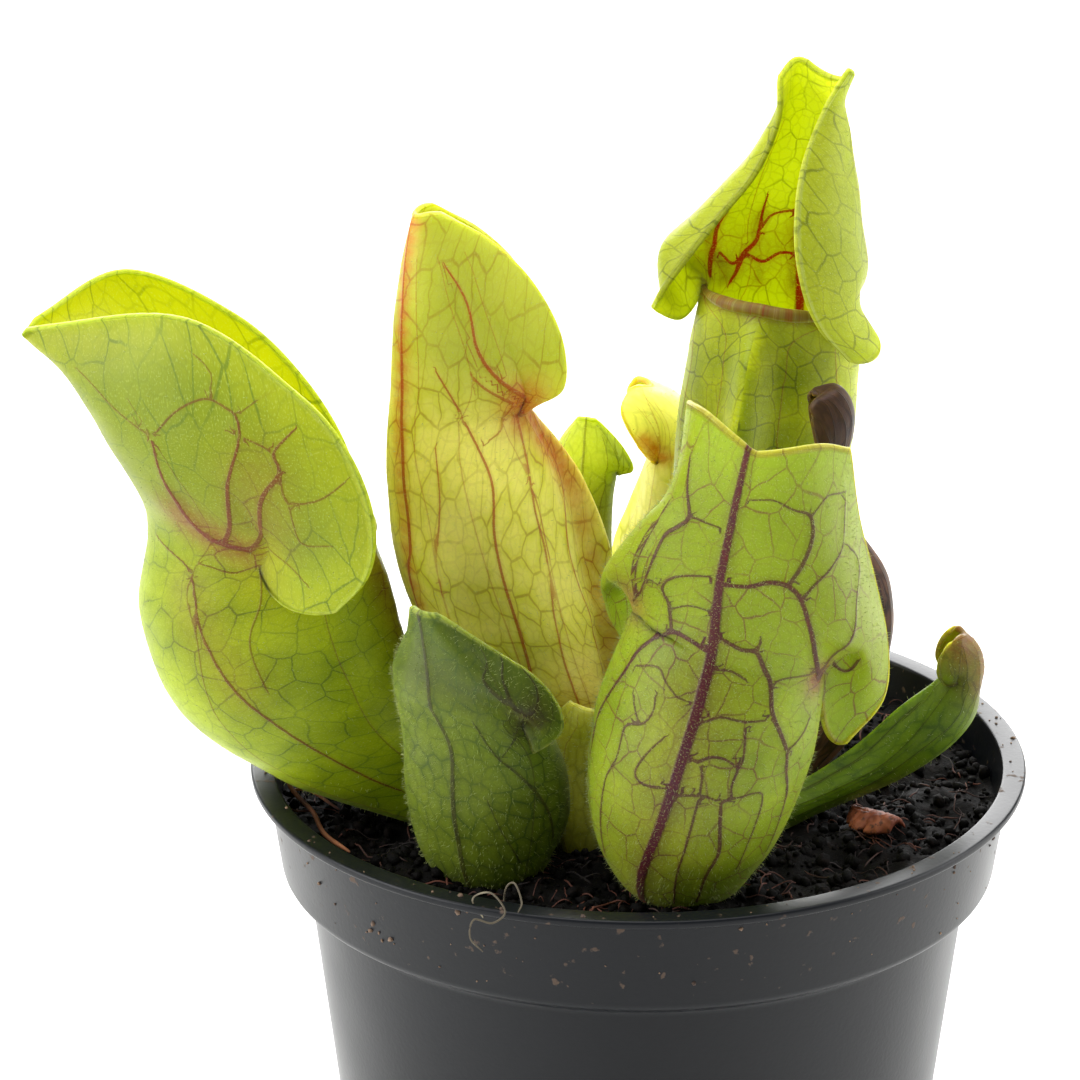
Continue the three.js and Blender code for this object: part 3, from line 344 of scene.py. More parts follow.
# %% Measures of the pitchers
USUAL = {
    "roll": 0, "slant": 0, "bow": [0] * 7, "settle": 0.5, "leave": [0.4, 0.4], "arrive": [0.4, 0.4],
    "lobe_start": [0, 0, 0], "lobe_end": [0, 0, 0],
}
PITCHERS = {
    "pitcher_left": {
        "kind": "large", "foot": [2, -12], "turn": -12,
        "back": [[-4, -1.5], [-17, -0.5], [-33, 4], [-46.6, 9.8], [-56, 17], [-60, 27.5], [-58.8, 36.3]],
        "front": [[-4, 1.5], [-15, 5.5], [-23.5, 11], [-29, 18], [-31, 25.5], [-32.5, 32], [-34, 37.5]],
        "width": [2.2, 4.5, 9, 12.5, 14, 13.5, 11.5],
        "wing": [0, 0.4, 0.8, 1, 1, 0.6, 0],
        "bow": [-3.4, -3.5, -2.6, -1, 0, 0, 0],
        "corner": 104, "settle": 0.6, "hollow": 0.3, "leave": [0.45, 0.45],
        "curl": [95, 95, 95, 95, 95, 80, 60], "lobe_start": [0.7, 1.6, -4.2], "lobe_end": [0.4, 4.2, 1.3],
        "rib": [[-58.8, 36.3], [-59.3, 39.8], [-60.6, 43.4], [-62.5, 47.8], [-65.2, 52.3], [-68.6, 56],
                [-73.4, 59]],
        "right": {
            "margin": [[14, -34, 33.8], [15.5, -30, 39], [16, -29.2, 45.5], [15.5, -32, 53],
                       [14.5, -38, 59.3], [11, -52, 66], [1.8, -72.6, 60.2]],
        },
        "left": {
            "margin": [[13, -41, 28], [15.5, -39, 33], [16, -40, 41], [15.5, -45, 50],
                       [15, -53, 57.5], [12, -65, 63], [1.8, -72.6, 60.2]],
        },
    },
    "pitcher_back": {
        "kind": "large", "foot": [-2, 3], "turn": 16,
        "back": [[-3, -1], [-8, 3.6], [-15, 11.5], [-21.6, 21.3], [-25.8, 32.3], [-27.2, 43.3],
                 [-27, 52.6]],
        "front": [[-2, 1.5], [-2, 7.5], [-2, 14.5], [-3.5, 22.3], [-5.5, 30.9], [-8, 42.2], [-11.8, 52]],
        "width": [1.8, 3, 6.2, 9.3, 10.5, 9, 5.5],
        "wing": [0, 1, 3, 4.5, 4.5, 3, 0],
        "corner": 140, "settle": 0.6, "hollow": 0.3,
        "rib": [[-27, 52.6], [-26.6, 59.6], [-25.9, 65.4], [-25.2, 70.6], [-24.2, 75.2]],
        "right": {
            "margin": [[3, -11.2, 52.6], [3.5, -8.2, 54.7], [3.5, -8.6, 60.8], [2.8, -11.8, 67.3],
                       [2, -16.5, 72.4], [1.8, -21.6, 75.8]],
            "curl": [110, 110, 110, 110, 100, 80],
        },
        "lobe_start": [0.7, 0.7, -0.4], "lobe_end": [0.1, 1.1, 0.3],
    },
    "pitcher_tall": {
        "kind": "large", "foot": [8, 2], "turn": -108, "roll": -4.7,
        "back": [[-2, -1.5], [-6, 8], [-11, 20], [-15, 32], [-18, 43], [-19.5, 52], [-19, 60]],
        "front": [[-1, 1.5], [1, 10], [2, 22], [1, 34], [-1, 46], [-2, 55], [-2.5, 61.9]],
        "width": [2.2, 4.5, 7, 8.8, 9.8, 9.5, 8.7],
        "wing": [0, 1, 3, 4, 4, 3, 0],
        "corner": 100, "settle": 0.32, "hollow": 0.3, "leave": [0.6, 0.55, 0.5, 0.45, 0.45, 0.45],
        "arrive": [1, 0.62, 0.45, 0.42, 0.4, 0.35],
        "rib": [[-19, 60], [-19, 65], [-18, 71], [-17, 77], [-15.5, 83], [-13, 88.6]],
        "right": {
            "margin": [[13.2, -4.8, 59.2], [12, -3.6, 61.8], [9.8, -4.2, 65.8], [7, -6.2, 70.6],
                       [3.8, -9, 76], [2.2, -10.4, 82], [2.6, -10.8, 87]],
            "curl": [120, 140, 150, 150, 150, 120, 60], "lobes": 0.6,
            "lobe_start": [2.2, 0.5, -5], "lobe_end": [3, 1, 1.6],
        },
        "left": {
            "margin": [[10.6, -3.6, 57.6], [7.6, -0.8, 61.8], [5.5, 0.4, 66.6], [3.9, 0, 72.6],
                       [3, -3.4, 79], [3.6, -7.8, 84.6], [5.4, -10, 89.4]],
            "curl": [120, 140, 150, 150, 150, 140, 120], "lobes": -1.8,
            "lobe_start": [6, 0.5, -2], "lobe_end": [-3, 2, 1],
            "arrive": [0.6, 0.42, 0.46, 0.55, 0.6, 0.45],
        },
    },
    "pitcher_front": {
        "kind": "large", "foot": [7.4, -9.5], "turn": 72, "roll": 12, "slant": -0.08,
        "back": [[-4, -1.5], [-14, -0.5], [-22.5, 4.5], [-27, 12], [-28.5, 21], [-27.5, 28.6], [-25, 36]],
        "front": [[-3.5, 2], [-6, 6], [-7, 12], [-6.5, 18], [-5.5, 24], [-5, 29], [-5, 33.8]],
        "width": [2.2, 5, 8.5, 11, 12, 11.6, 10.6],
        "wing": [0, 1, 2, 2.5, 2.5, 1.5, 0],
        "corner": 95, "hollow": 0.3, "leave": [0.5, 0.5], "lobes": 1.9, "curl": [100, 100, 100, 95, 90, 70],
        "rib": [[-25, 36], [-24.5, 41], [-24.5, 45.5], [-24.5, 51], [-24.5, 56], [-25, 60.8]],
        "right": {
            "margin": [[14.4, -10, 24], [16.8, -7.4, 29.5], [15.6, -7, 36], [12.6, -8, 43.4],
                       [9.8, -11, 51.2], [8.2, -17, 61.1]],
            "lobe_start": [0.6, 1.5, -5], "lobe_end": [2.6, 1, 0.2],
        },
        "left": {
            "margin": [[12.4, -12, 28.5], [15.8, -8, 30.4], [15.6, -8, 34.9], [12.8, -10, 42.7],
                       [10.1, -13, 49.4], [9.8, -18, 61.1]],
            "lobe_start": [2.5, 1.5, -3.5], "lobe_end": [1.6, 1.2, 0.6],
        },
    },
    "pitcher_small": {
        "kind": "large", "foot": [-12.9, -12.3], "turn": 52, "roll": 4,
        "back": [[-3, -1.5], [-11, 0], [-14.5, 4.5], [-16, 10.5], [-16.8, 16], [-18.2, 21.5],
                 [-20.8, 27.5]],
        "front": [[-2.5, 1.5], [-1.5, 4], [-0.5, 8], [0, 12], [-1, 16], [-3, 19.5], [-6, 22.5]],
        "width": [2.2, 5.4, 8, 9.3, 9.4, 8.8, 7.6],
        "wing": [0, 0.5, 1.5, 2, 2, 1, 0],
        "corner": 92, "hollow": 0.3, "leave": [0.45, 0.45], "arrive": [0.4, 0.4, 0.25],
        "curl": [100, 100, 100, 95, 70, 40], "lobe_start": [1.6, 1.2, -2.4], "lobe_end": [1.4, 0.8, 1.4],
        "rib": [[-20.8, 27.5], [-20.8, 30.4], [-21.2, 33.6], [-21.8, 37], [-22.2, 39]],
        "right": {
            "margin": [[9.6, -11.4, 22], [11, -10.2, 24.2], [10.8, -11, 27.6], [8.8, -13, 31],
                       [5.2, -16.6, 34.6], [1.8, -21.4, 39]],
        },
        "left": {
            "margin": [[10, -12, 20], [11.2, -11.5, 22.3], [10.4, -12.5, 25], [8, -14.5, 29],
                       [4.8, -17.8, 33.6], [1.8, -21.4, 38.8]],
            "leave": [0.3, 0.25, 0.2, 0.15], "arrive": [0.14, 0.1, 0.1],
        },
    },
    "pitcher_hooded": {
        "kind": "small", "foot": [-5.5, 14], "turn": 70,
        "back": [[-1.5, -1], [-2, 8], [-2.4, 16], [-2.8, 24], [-3, 30], [-3, 35], [-2.6, 39]],
        "front": [[1, 1], [1.2, 8], [1.4, 16], [1.4, 24], [1.2, 30], [1.2, 35], [1.6, 38.5]],
        "width": [1.4, 1.8, 2.2, 2.6, 2.6, 2.6, 3],
        "wing": [0, 0.4, 0.8, 1, 1, 0.8, 0],
        "corner": 95, "hollow": 0.75, "leave": [0.5, 0.5],
        "rib": [[-2.6, 39], [-2.4, 41], [-2, 43], [-1.2, 45]],
        "right": {
            "margin": [[3.8, 0.5, 38.2], [4.7, 0.8, 39], [3.4, 0.2, 41.8], [1, -1, 45]],
            "curl": [60, 60, 60, 50],
        },
        "lobe_start": [0.6, 0.1, -0.1], "lobe_end": [0.6, 0, 0.1],
    },
    "pitcher_pale": {
        "kind": "small", "foot": [4.5, 24], "turn": 172,
        "back": [[-1, -1], [-1.8, 6], [-2.3, 12.5], [-2.6, 19], [-2.4, 25.5], [-2, 31.5], [-1.8, 36.8]],
        "front": [[1, 1], [3.4, 6], [5.6, 12.5], [6.6, 19], [5.8, 25.5], [4, 31], [2.8, 36.4]],
        "width": [1.6, 2.6, 3.4, 4, 4, 3.4, 2.6],
        "wing": [0, 0.4, 0.8, 1, 1, 0.8, 0],
        "corner": 120, "hollow": 0.6,
        "rib": [[-1.8, 36.8], [-2.4, 39.2], [-2, 41.6], [0.2, 43.8], [2.8, 44.8]],
        "right": {
            "margin": [[2.6, 3, 37.2], [3.2, 4, 39], [3.2, 5.2, 41.2], [2.8, 5.8, 43], [1.8, 5, 44.8]],
            "curl": [100, 110, 110, 100, 80],
        },
        "lobe_start": [0.6, 0.6, -0.4], "lobe_end": [0.1, 0.9, 0.4],
    },
    "pitcher_bud": {
        "kind": "small", "foot": [-5.6, -13], "turn": 80,
        "back": [[-2, -1], [-3.4, 3], [-3, 6.6], [-1.8, 9.2], [-0.4, 11.6], [0.6, 13.6], [1.2, 15.2]],
        "front": [[-1, 1], [1, 3.6], [2.2, 6.8], [3.2, 9.2], [4, 11.6], [4.4, 13.4], [4.6, 15]],
        "width": [1.6, 3, 4, 4.6, 4.8, 4.4, 3.8],
        "wing": [0, 0.2, 0.4, 0.5, 0.5, 0.3, 0],
        "corner": 110, "hollow": 0.75,
        "rib": [[1.2, 15.2], [1.3, 16.4], [1.5, 17.4], [1.9, 18.4]],
        "right": {
            "margin": [[4.6, 4.2, 15], [4.5, 4.4, 16.2], [3.9, 4.4, 17.4], [3, 3.8, 18.4]],
            "curl": [70, 70, 70, 60],
        },
        "lobe_start": [0.5, 0.25, 0], "lobe_end": [0.25, 0.5, 0],
    },
    "pitcher_right": {
        "kind": "small", "foot": [8.5, -6.5], "turn": 178,
        "back": [[-3, -1.5], [-10.7, 3.8], [-17, 7], [-22.5, 9.8], [-27, 13.2], [-29.6, 16.8],
                 [-30.4, 20.4]],
        "front": [[-2.5, 1.5], [-8, 5.6], [-13, 8.4], [-17.5, 11.6], [-21.2, 15.6], [-24.2, 18.6],
                  [-26.8, 21.7]],
        "width": [1.6, 2.2, 2.6, 2.8, 2.8, 2.6, 2.2],
        "wing": [0, 0.4, 1, 1.2, 1, 0.6, 0],
        "corner": 120, "hollow": 0.85,
        "rib": [[-30.4, 20.4], [-30.6, 22.4], [-30, 24.6], [-28.4, 26.2]],
        "right": {
            "margin": [[2, -26.2, 21.2], [2.4, -25.6, 22.8], [2.2, -26, 24.8], [1.8, -27.2, 26.4]],
            "curl": [100, 110, 110, 80],
        },
        "lobe_start": [0.4, 0.4, -0.3], "lobe_end": [0.1, 0.6, 0.2],
    },
    "pitcher_dead": {
        "kind": "small", "foot": [10.5, -0.8], "turn": 183, "roll": -4,
        "back": [[-2, -1], [-9, 5], [-15, 13], [-17.8, 21.5], [-17.8, 30.5], [-13.4, 38.5],
                 [-12.2, 46.6]],
        "front": [[-1, 1], [-6, 7], [-11, 14], [-13.6, 21.5], [-13.6, 30], [-11, 38], [-10, 46]],
        "width": [1.2, 1.3, 1.6, 2, 2, 1.3, 1.3],
        "wing": [0, 0.2, 0.4, 0.5, 0.4, 0.3, 0],
        "corner": 110, "hollow": 1,
        "rib": [[-12.2, 46.6], [-13, 50], [-12.8, 53], [-11.4, 55], [-9.6, 54.2]],
        "right": {
            "margin": [[1.8, -9.6, 46.8], [2.1, -9.2, 49], [2, -8.8, 51], [1.7, -8.6, 52.6],
                       [1.5, -8.6, 53.4]],
            "curl": [100, 110, 110, 100, 80],
        },
        "lobe_start": [0.4, 0.4, -0.2], "lobe_end": [0.1, 0.6, 0.2],
    },
}
print("pitchers:", ", ".join(PITCHERS))

# %% [markdown]
# ## From the middle surface to a blade
# The formulas give the middle of the leaf. A real blade is about 0.7 mm thick, so the surface is moved out
# and in by half of that, and the two skins are joined round the leaf's whole edge. On the front of the
# mouth the edge is the lip, a roll up to 1.6 mm thick that turns outwards. Everywhere else it is a plain
# rounded edge. Skins, edge and the closed ends make one closed mesh.

# %% Blade of a pitcher
HALF_THICKNESS = 0.35
LIP_RADIUS = 0.8
EDGE_STEPS = 7
SEAM_CROWDING = 1.35
LIP_OUT, LIP_UP = 0.35, 0.1
LIP_RUN = 0.3
NARROW_MOUTH, WIDE_MOUTH = 3, 7
ROLL_FROM, ROLL_TURN = -60, 210
FINE = {
    "large": {"rows": 96, "back": 35, "front": 24, "hood": 60, "lobe": 21},
    "small": {"rows": 60, "back": 16, "front": 12, "hood": 24, "lobe": 8},
}


def leaf_sheet(leaf, keel):
    """The middle surface: points with their v, the point numbers of tube and hood, and which of the hood's
    points are its own and not the tube's."""
    fine = FINE[leaf["kind"]]
    back, front, lobe = fine["back"], fine["front"], fine["lobe"]
    corner = np.radians(leaf["corner"])
    seam = corner + (np.pi - corner) * (1 - (1 - np.arange(1, front + 1) / front) ** SEAM_CROWDING)
    angles = np.concatenate([corner * np.arange(-back, back + 1) / back, seam, -seam[-2::-1]])
    t = np.linspace(0, 1, fine["rows"] + 1)[:, None]
    tube = tube_point(leaf, t, angles[None], keel)
    tube_numbers = np.arange(tube.shape[0] * tube.shape[1]).reshape(tube.shape[:2])
    column = np.arange(-(back + lobe), back + lobe + 1) / (back + lobe)
    rise = np.linspace(0, 1, fine["hood"] + 1)[:, None]
    halves = [hood_point(leaf, side, np.abs(column)[None], rise) for side in (-1, 1)]
    hood = np.where((column < 0)[None, :, None], halves[0], halves[1])
    fresh = np.ones(hood.shape[:2], bool)
    fresh[0, lobe:lobe + 2 * back + 1] = False
    hood_numbers = np.zeros(hood.shape[:2], int)
    hood_numbers[fresh] = tube_numbers.size + np.arange(fresh.sum())
    hood_numbers[0, lobe:lobe + 2 * back + 1] = tube_numbers[-1, :2 * back + 1]
    points = np.concatenate([tube.reshape(-1, 3), hood[fresh]])
    v = np.concatenate([np.repeat(t[:, 0], len(angles)), 1 + np.tile(rise, (1, len(column)))[fresh]])
    return points, v, tube_numbers, hood_numbers, fresh


def flat_places(leaf, tube, hood, fresh):
    """Places on the leaf in mm: across is the way round from the midrib, and up the way along the midrib."""
    back = FINE[leaf["kind"]]["back"]
    middle = hood.shape[1] // 2
    ring_steps = np.linalg.norm(np.diff(tube, axis=1, append=tube[:, :1]), axis=-1)
    right = np.cumsum(ring_steps[:, back:], 1)
    across = np.zeros(tube.shape[:2])
    across[:, back + 1:] = right[:, :-1]
    across[:, :back] = -np.cumsum(ring_steps[:, :back][:, ::-1], 1)[:, ::-1]
    total = ring_steps.sum(1, keepdims=True)
    seam = 2 * back + FINE[leaf["kind"]]["front"]
    across[:, seam + 1:] -= total
    up = np.cumsum(np.linalg.norm(np.diff(tube[:, back], axis=0, prepend=tube[:1, back]), axis=-1))
    steps = np.linalg.norm(np.diff(hood, axis=1), axis=-1)
    wide = np.zeros(hood.shape[:2])
    wide[:, middle + 1:] = np.cumsum(steps[:, middle:], 1)
    wide[:, :middle] = -np.cumsum(steps[:, :middle][:, ::-1], 1)[:, ::-1]
    high = np.cumsum(np.linalg.norm(np.diff(hood[:, middle], axis=0, prepend=hood[:1, middle]), axis=-1))
    low = np.stack([across, np.repeat(up[:, None], tube.shape[1], 1)], -1).reshape(-1, 2)
    top = np.stack([wide, np.repeat(up[-1] + high[:, None], hood.shape[1], 1)], -1)[fresh]
    return np.concatenate([low, top])


def edge_loop(leaf, tube_numbers, hood_numbers):
    """Point numbers once round the leaf's edge, their neighbours inside it, and their places on the lip."""
    back, lobe = FINE[leaf["kind"]]["back"], FINE[leaf["kind"]]["lobe"]
    ring = tube_numbers[-1]
    lower = tube_numbers[-2]
    right_lobe = hood_numbers[0, lobe + 2 * back + 1:-1]
    left_lobe = hood_numbers[0, 1:lobe]
    lip = np.arange(len(ring) - 1, 2 * back, -1)
    loop = [
        ring[2 * back:2 * back + 1], right_lobe, hood_numbers[:-1, -1], hood_numbers[-1, ::-1],
        hood_numbers[-2::-1, 0], left_lobe, ring[:1], ring[lip],
    ]
    inside = [
        lower[2 * back:2 * back + 1], hood_numbers[1, lobe + 2 * back + 1:-1], hood_numbers[:-1, -2],
        np.concatenate([hood_numbers[-2, -2:-1], hood_numbers[-2, -2:0:-1], hood_numbers[-2, 1:2]]),
        hood_numbers[-2::-1, 1], hood_numbers[1, 1:lobe], lower[:1], lower[lip],
    ]
    share = np.zeros(sum(len(part) for part in loop))
    share[-len(lip):] = (np.arange(len(lip)) + 1) / (len(lip) + 1)
    return np.concatenate(loop), np.concatenate(inside), share


def rolled_edge(leaf, outer, inner, middle, loop, inside, share):
    """Points across the leaf's edge: a half circle, which grows into an outward roll on the lip."""
    depth = (leaf["front"][-1][0] - leaf["back"][-1][0]) / 2
    widest = np.clip((depth - NARROW_MOUTH) / (WIDE_MOUTH - NARROW_MOUTH), 0, 1)
    full = (widest * smoothstep(np.minimum(share, 1 - share), 0, LIP_RUN))[:, None]
    out = unit(outer[loop] - inner)
    up = middle[loop] - middle[inside]
    up = unit(up - (up * out).sum(1, keepdims=True) * out)
    radius = HALF_THICKNESS + (LIP_RADIUS - HALF_THICKNESS) * full
    centre = (outer[loop] + inner) / 2 + full * (LIP_OUT * out + LIP_UP * up)
    step = np.arange(EDGE_STEPS)
    plain = 180 * (step + 1) / (EDGE_STEPS + 1)
    roll = ROLL_FROM + ROLL_TURN * step / (EDGE_STEPS - 1)
    angle = np.radians(plain + (roll - plain) * full)[..., None]
    return centre[:, None] + radius[:, None] * (np.cos(angle) * out[:, None] + np.sin(angle) * up[:, None])


# %% [markdown]
# ## Veins
# The main veins of a leaf are lines on its surface: a midrib, branches that leave it, and strands that run
# up the tube and fan out over the hood from the corners of the mouth. Each is a short list of places on
# the leaf, with a spline through them. For every point of the mesh, numpy finds how far the nearest vein
# is, and on which side. The distance with its side passes evenly through zero at the vein, so the material
# draws a crisp line there, however coarse the mesh is. The surface is raised a little there too.

# %% Veins of the pitchers
FAR = 9.0
VEIN_REACH = 5.0
TO_HOOD = 0.85
STRAND_LEVELS = (0.12, 0.35, 0.6, 0.82, 0.93)
STRAND_WANDER, FAN_WANDER_U, FAN_WANDER_V = 0.035, 0.03, 0.02


def vein_path(leaf, places, halves, steps=40):
    """A vein as points in the plant's frame and the half width at each, from places given as u and v."""
    share = np.linspace(0, 1, steps)
    u, v = spline(np.array(places, float), share).T
    return leaf_point(leaf, u, v), np.interp(share, np.linspace(0, 1, len(halves)), halves)


def vein_field(points, normals, veins):
    """Where each point lies beside the nearest vein: distance, distance with its side, half width and tone.

    The distance to a stretch of vein is found for all points near it at once. Its side is the sign of the
    offset along the cross product of the surface's normal and the vein's direction.
    """
    gap = np.full(len(points), FAR)
    signed, half_width, tone = gap.copy(), np.ones(len(points)), np.zeros(len(points))
    for path, half, strength in veins:
        inside = (points > path.min(0) - VEIN_REACH) & (points < path.max(0) + VEIN_REACH)
        near = np.nonzero(inside.all(1))[0]
        if not len(near):
            continue
        along = path[1:] - path[:-1]
        offset = points[near][:, None] - path[:-1]
        share = np.clip((offset * along).sum(-1) / np.maximum((along**2).sum(-1), TINY), 0, 1)
        offset -= share[..., None] * along
        lengths = np.linalg.norm(offset, axis=-1)
        nearest = lengths.argmin(1)
        row = np.arange(len(near))
        width = half[nearest] + (half[nearest + 1] - half[nearest]) * share[row, nearest]
        away = lengths[row, nearest]
        side = np.sign((offset[row, nearest] * np.cross(normals[near], along[nearest])).sum(-1))
        closer = away - width < gap[near] - half_width[near] * (gap[near] < FAR)
        chosen = near[closer]
        gap[chosen], signed[chosen] = away[closer], (away * side)[closer]
        half_width[chosen], tone[chosen] = width[closer], strength
    return {"gap": gap, "signed": signed, "half_width": half_width, "tone": tone}


def grown_veins(leaf, look, seed):
    """Strands up the tube and a fan over each half of the hood, evenly spaced with a seeded wander."""
    rng = np.random.default_rng(seed)
    ring = ON_RING[leaf["kind"]]
    seam = 180 / leaf["corner"] * ring
    thin = look["strand_width"]
    veins = []
    for side in (-1, 1):
        for k in range(1, look["strands"] + 1):
            u = seam * k / (look["strands"] + 0.6)
            wander = rng.uniform(-STRAND_WANDER, STRAND_WANDER, len(STRAND_LEVELS)) * seam
            top = u if u < TO_HOOD * ring else ring + (u - ring) * 0.3
            places = [(side * (u + w), v) for w, v in zip(wander, STRAND_LEVELS)]
            places.append((side * top, 1.0))
            if u < TO_HOOD * ring:
                places += [(side * (u * 1.1 + wander[0]), 1.3), (side * (u * 1.25 + wander[1]), 1.75)]
            veins.append((*vein_path(leaf, places, [thin, thin, 0.6 * thin]), look["strand_tone"]))
        for k in range(look["fan"]):
            f = (k + 0.5) / look["fan"]
            end_u, end_v = min(1, 1.25 - 0.8 * f), 1.04 + 0.92 * min(1, 1.1 * f)
            middle_u = ring + 0.35 * (end_u - ring) + rng.uniform(-FAN_WANDER_U, FAN_WANDER_U)
            middle_v = 1.02 + 0.5 * (end_v - 1.02) + rng.uniform(-FAN_WANDER_V, FAN_WANDER_V)
            places = [(side * 0.92 * ring, 1.01), (side * middle_u, middle_v), (side * end_u, end_v)]
            veins.append((*vein_path(leaf, places, [1.2 * thin, 0.8 * thin, 0.4 * thin]), look["fan_tone"]))
    return veins


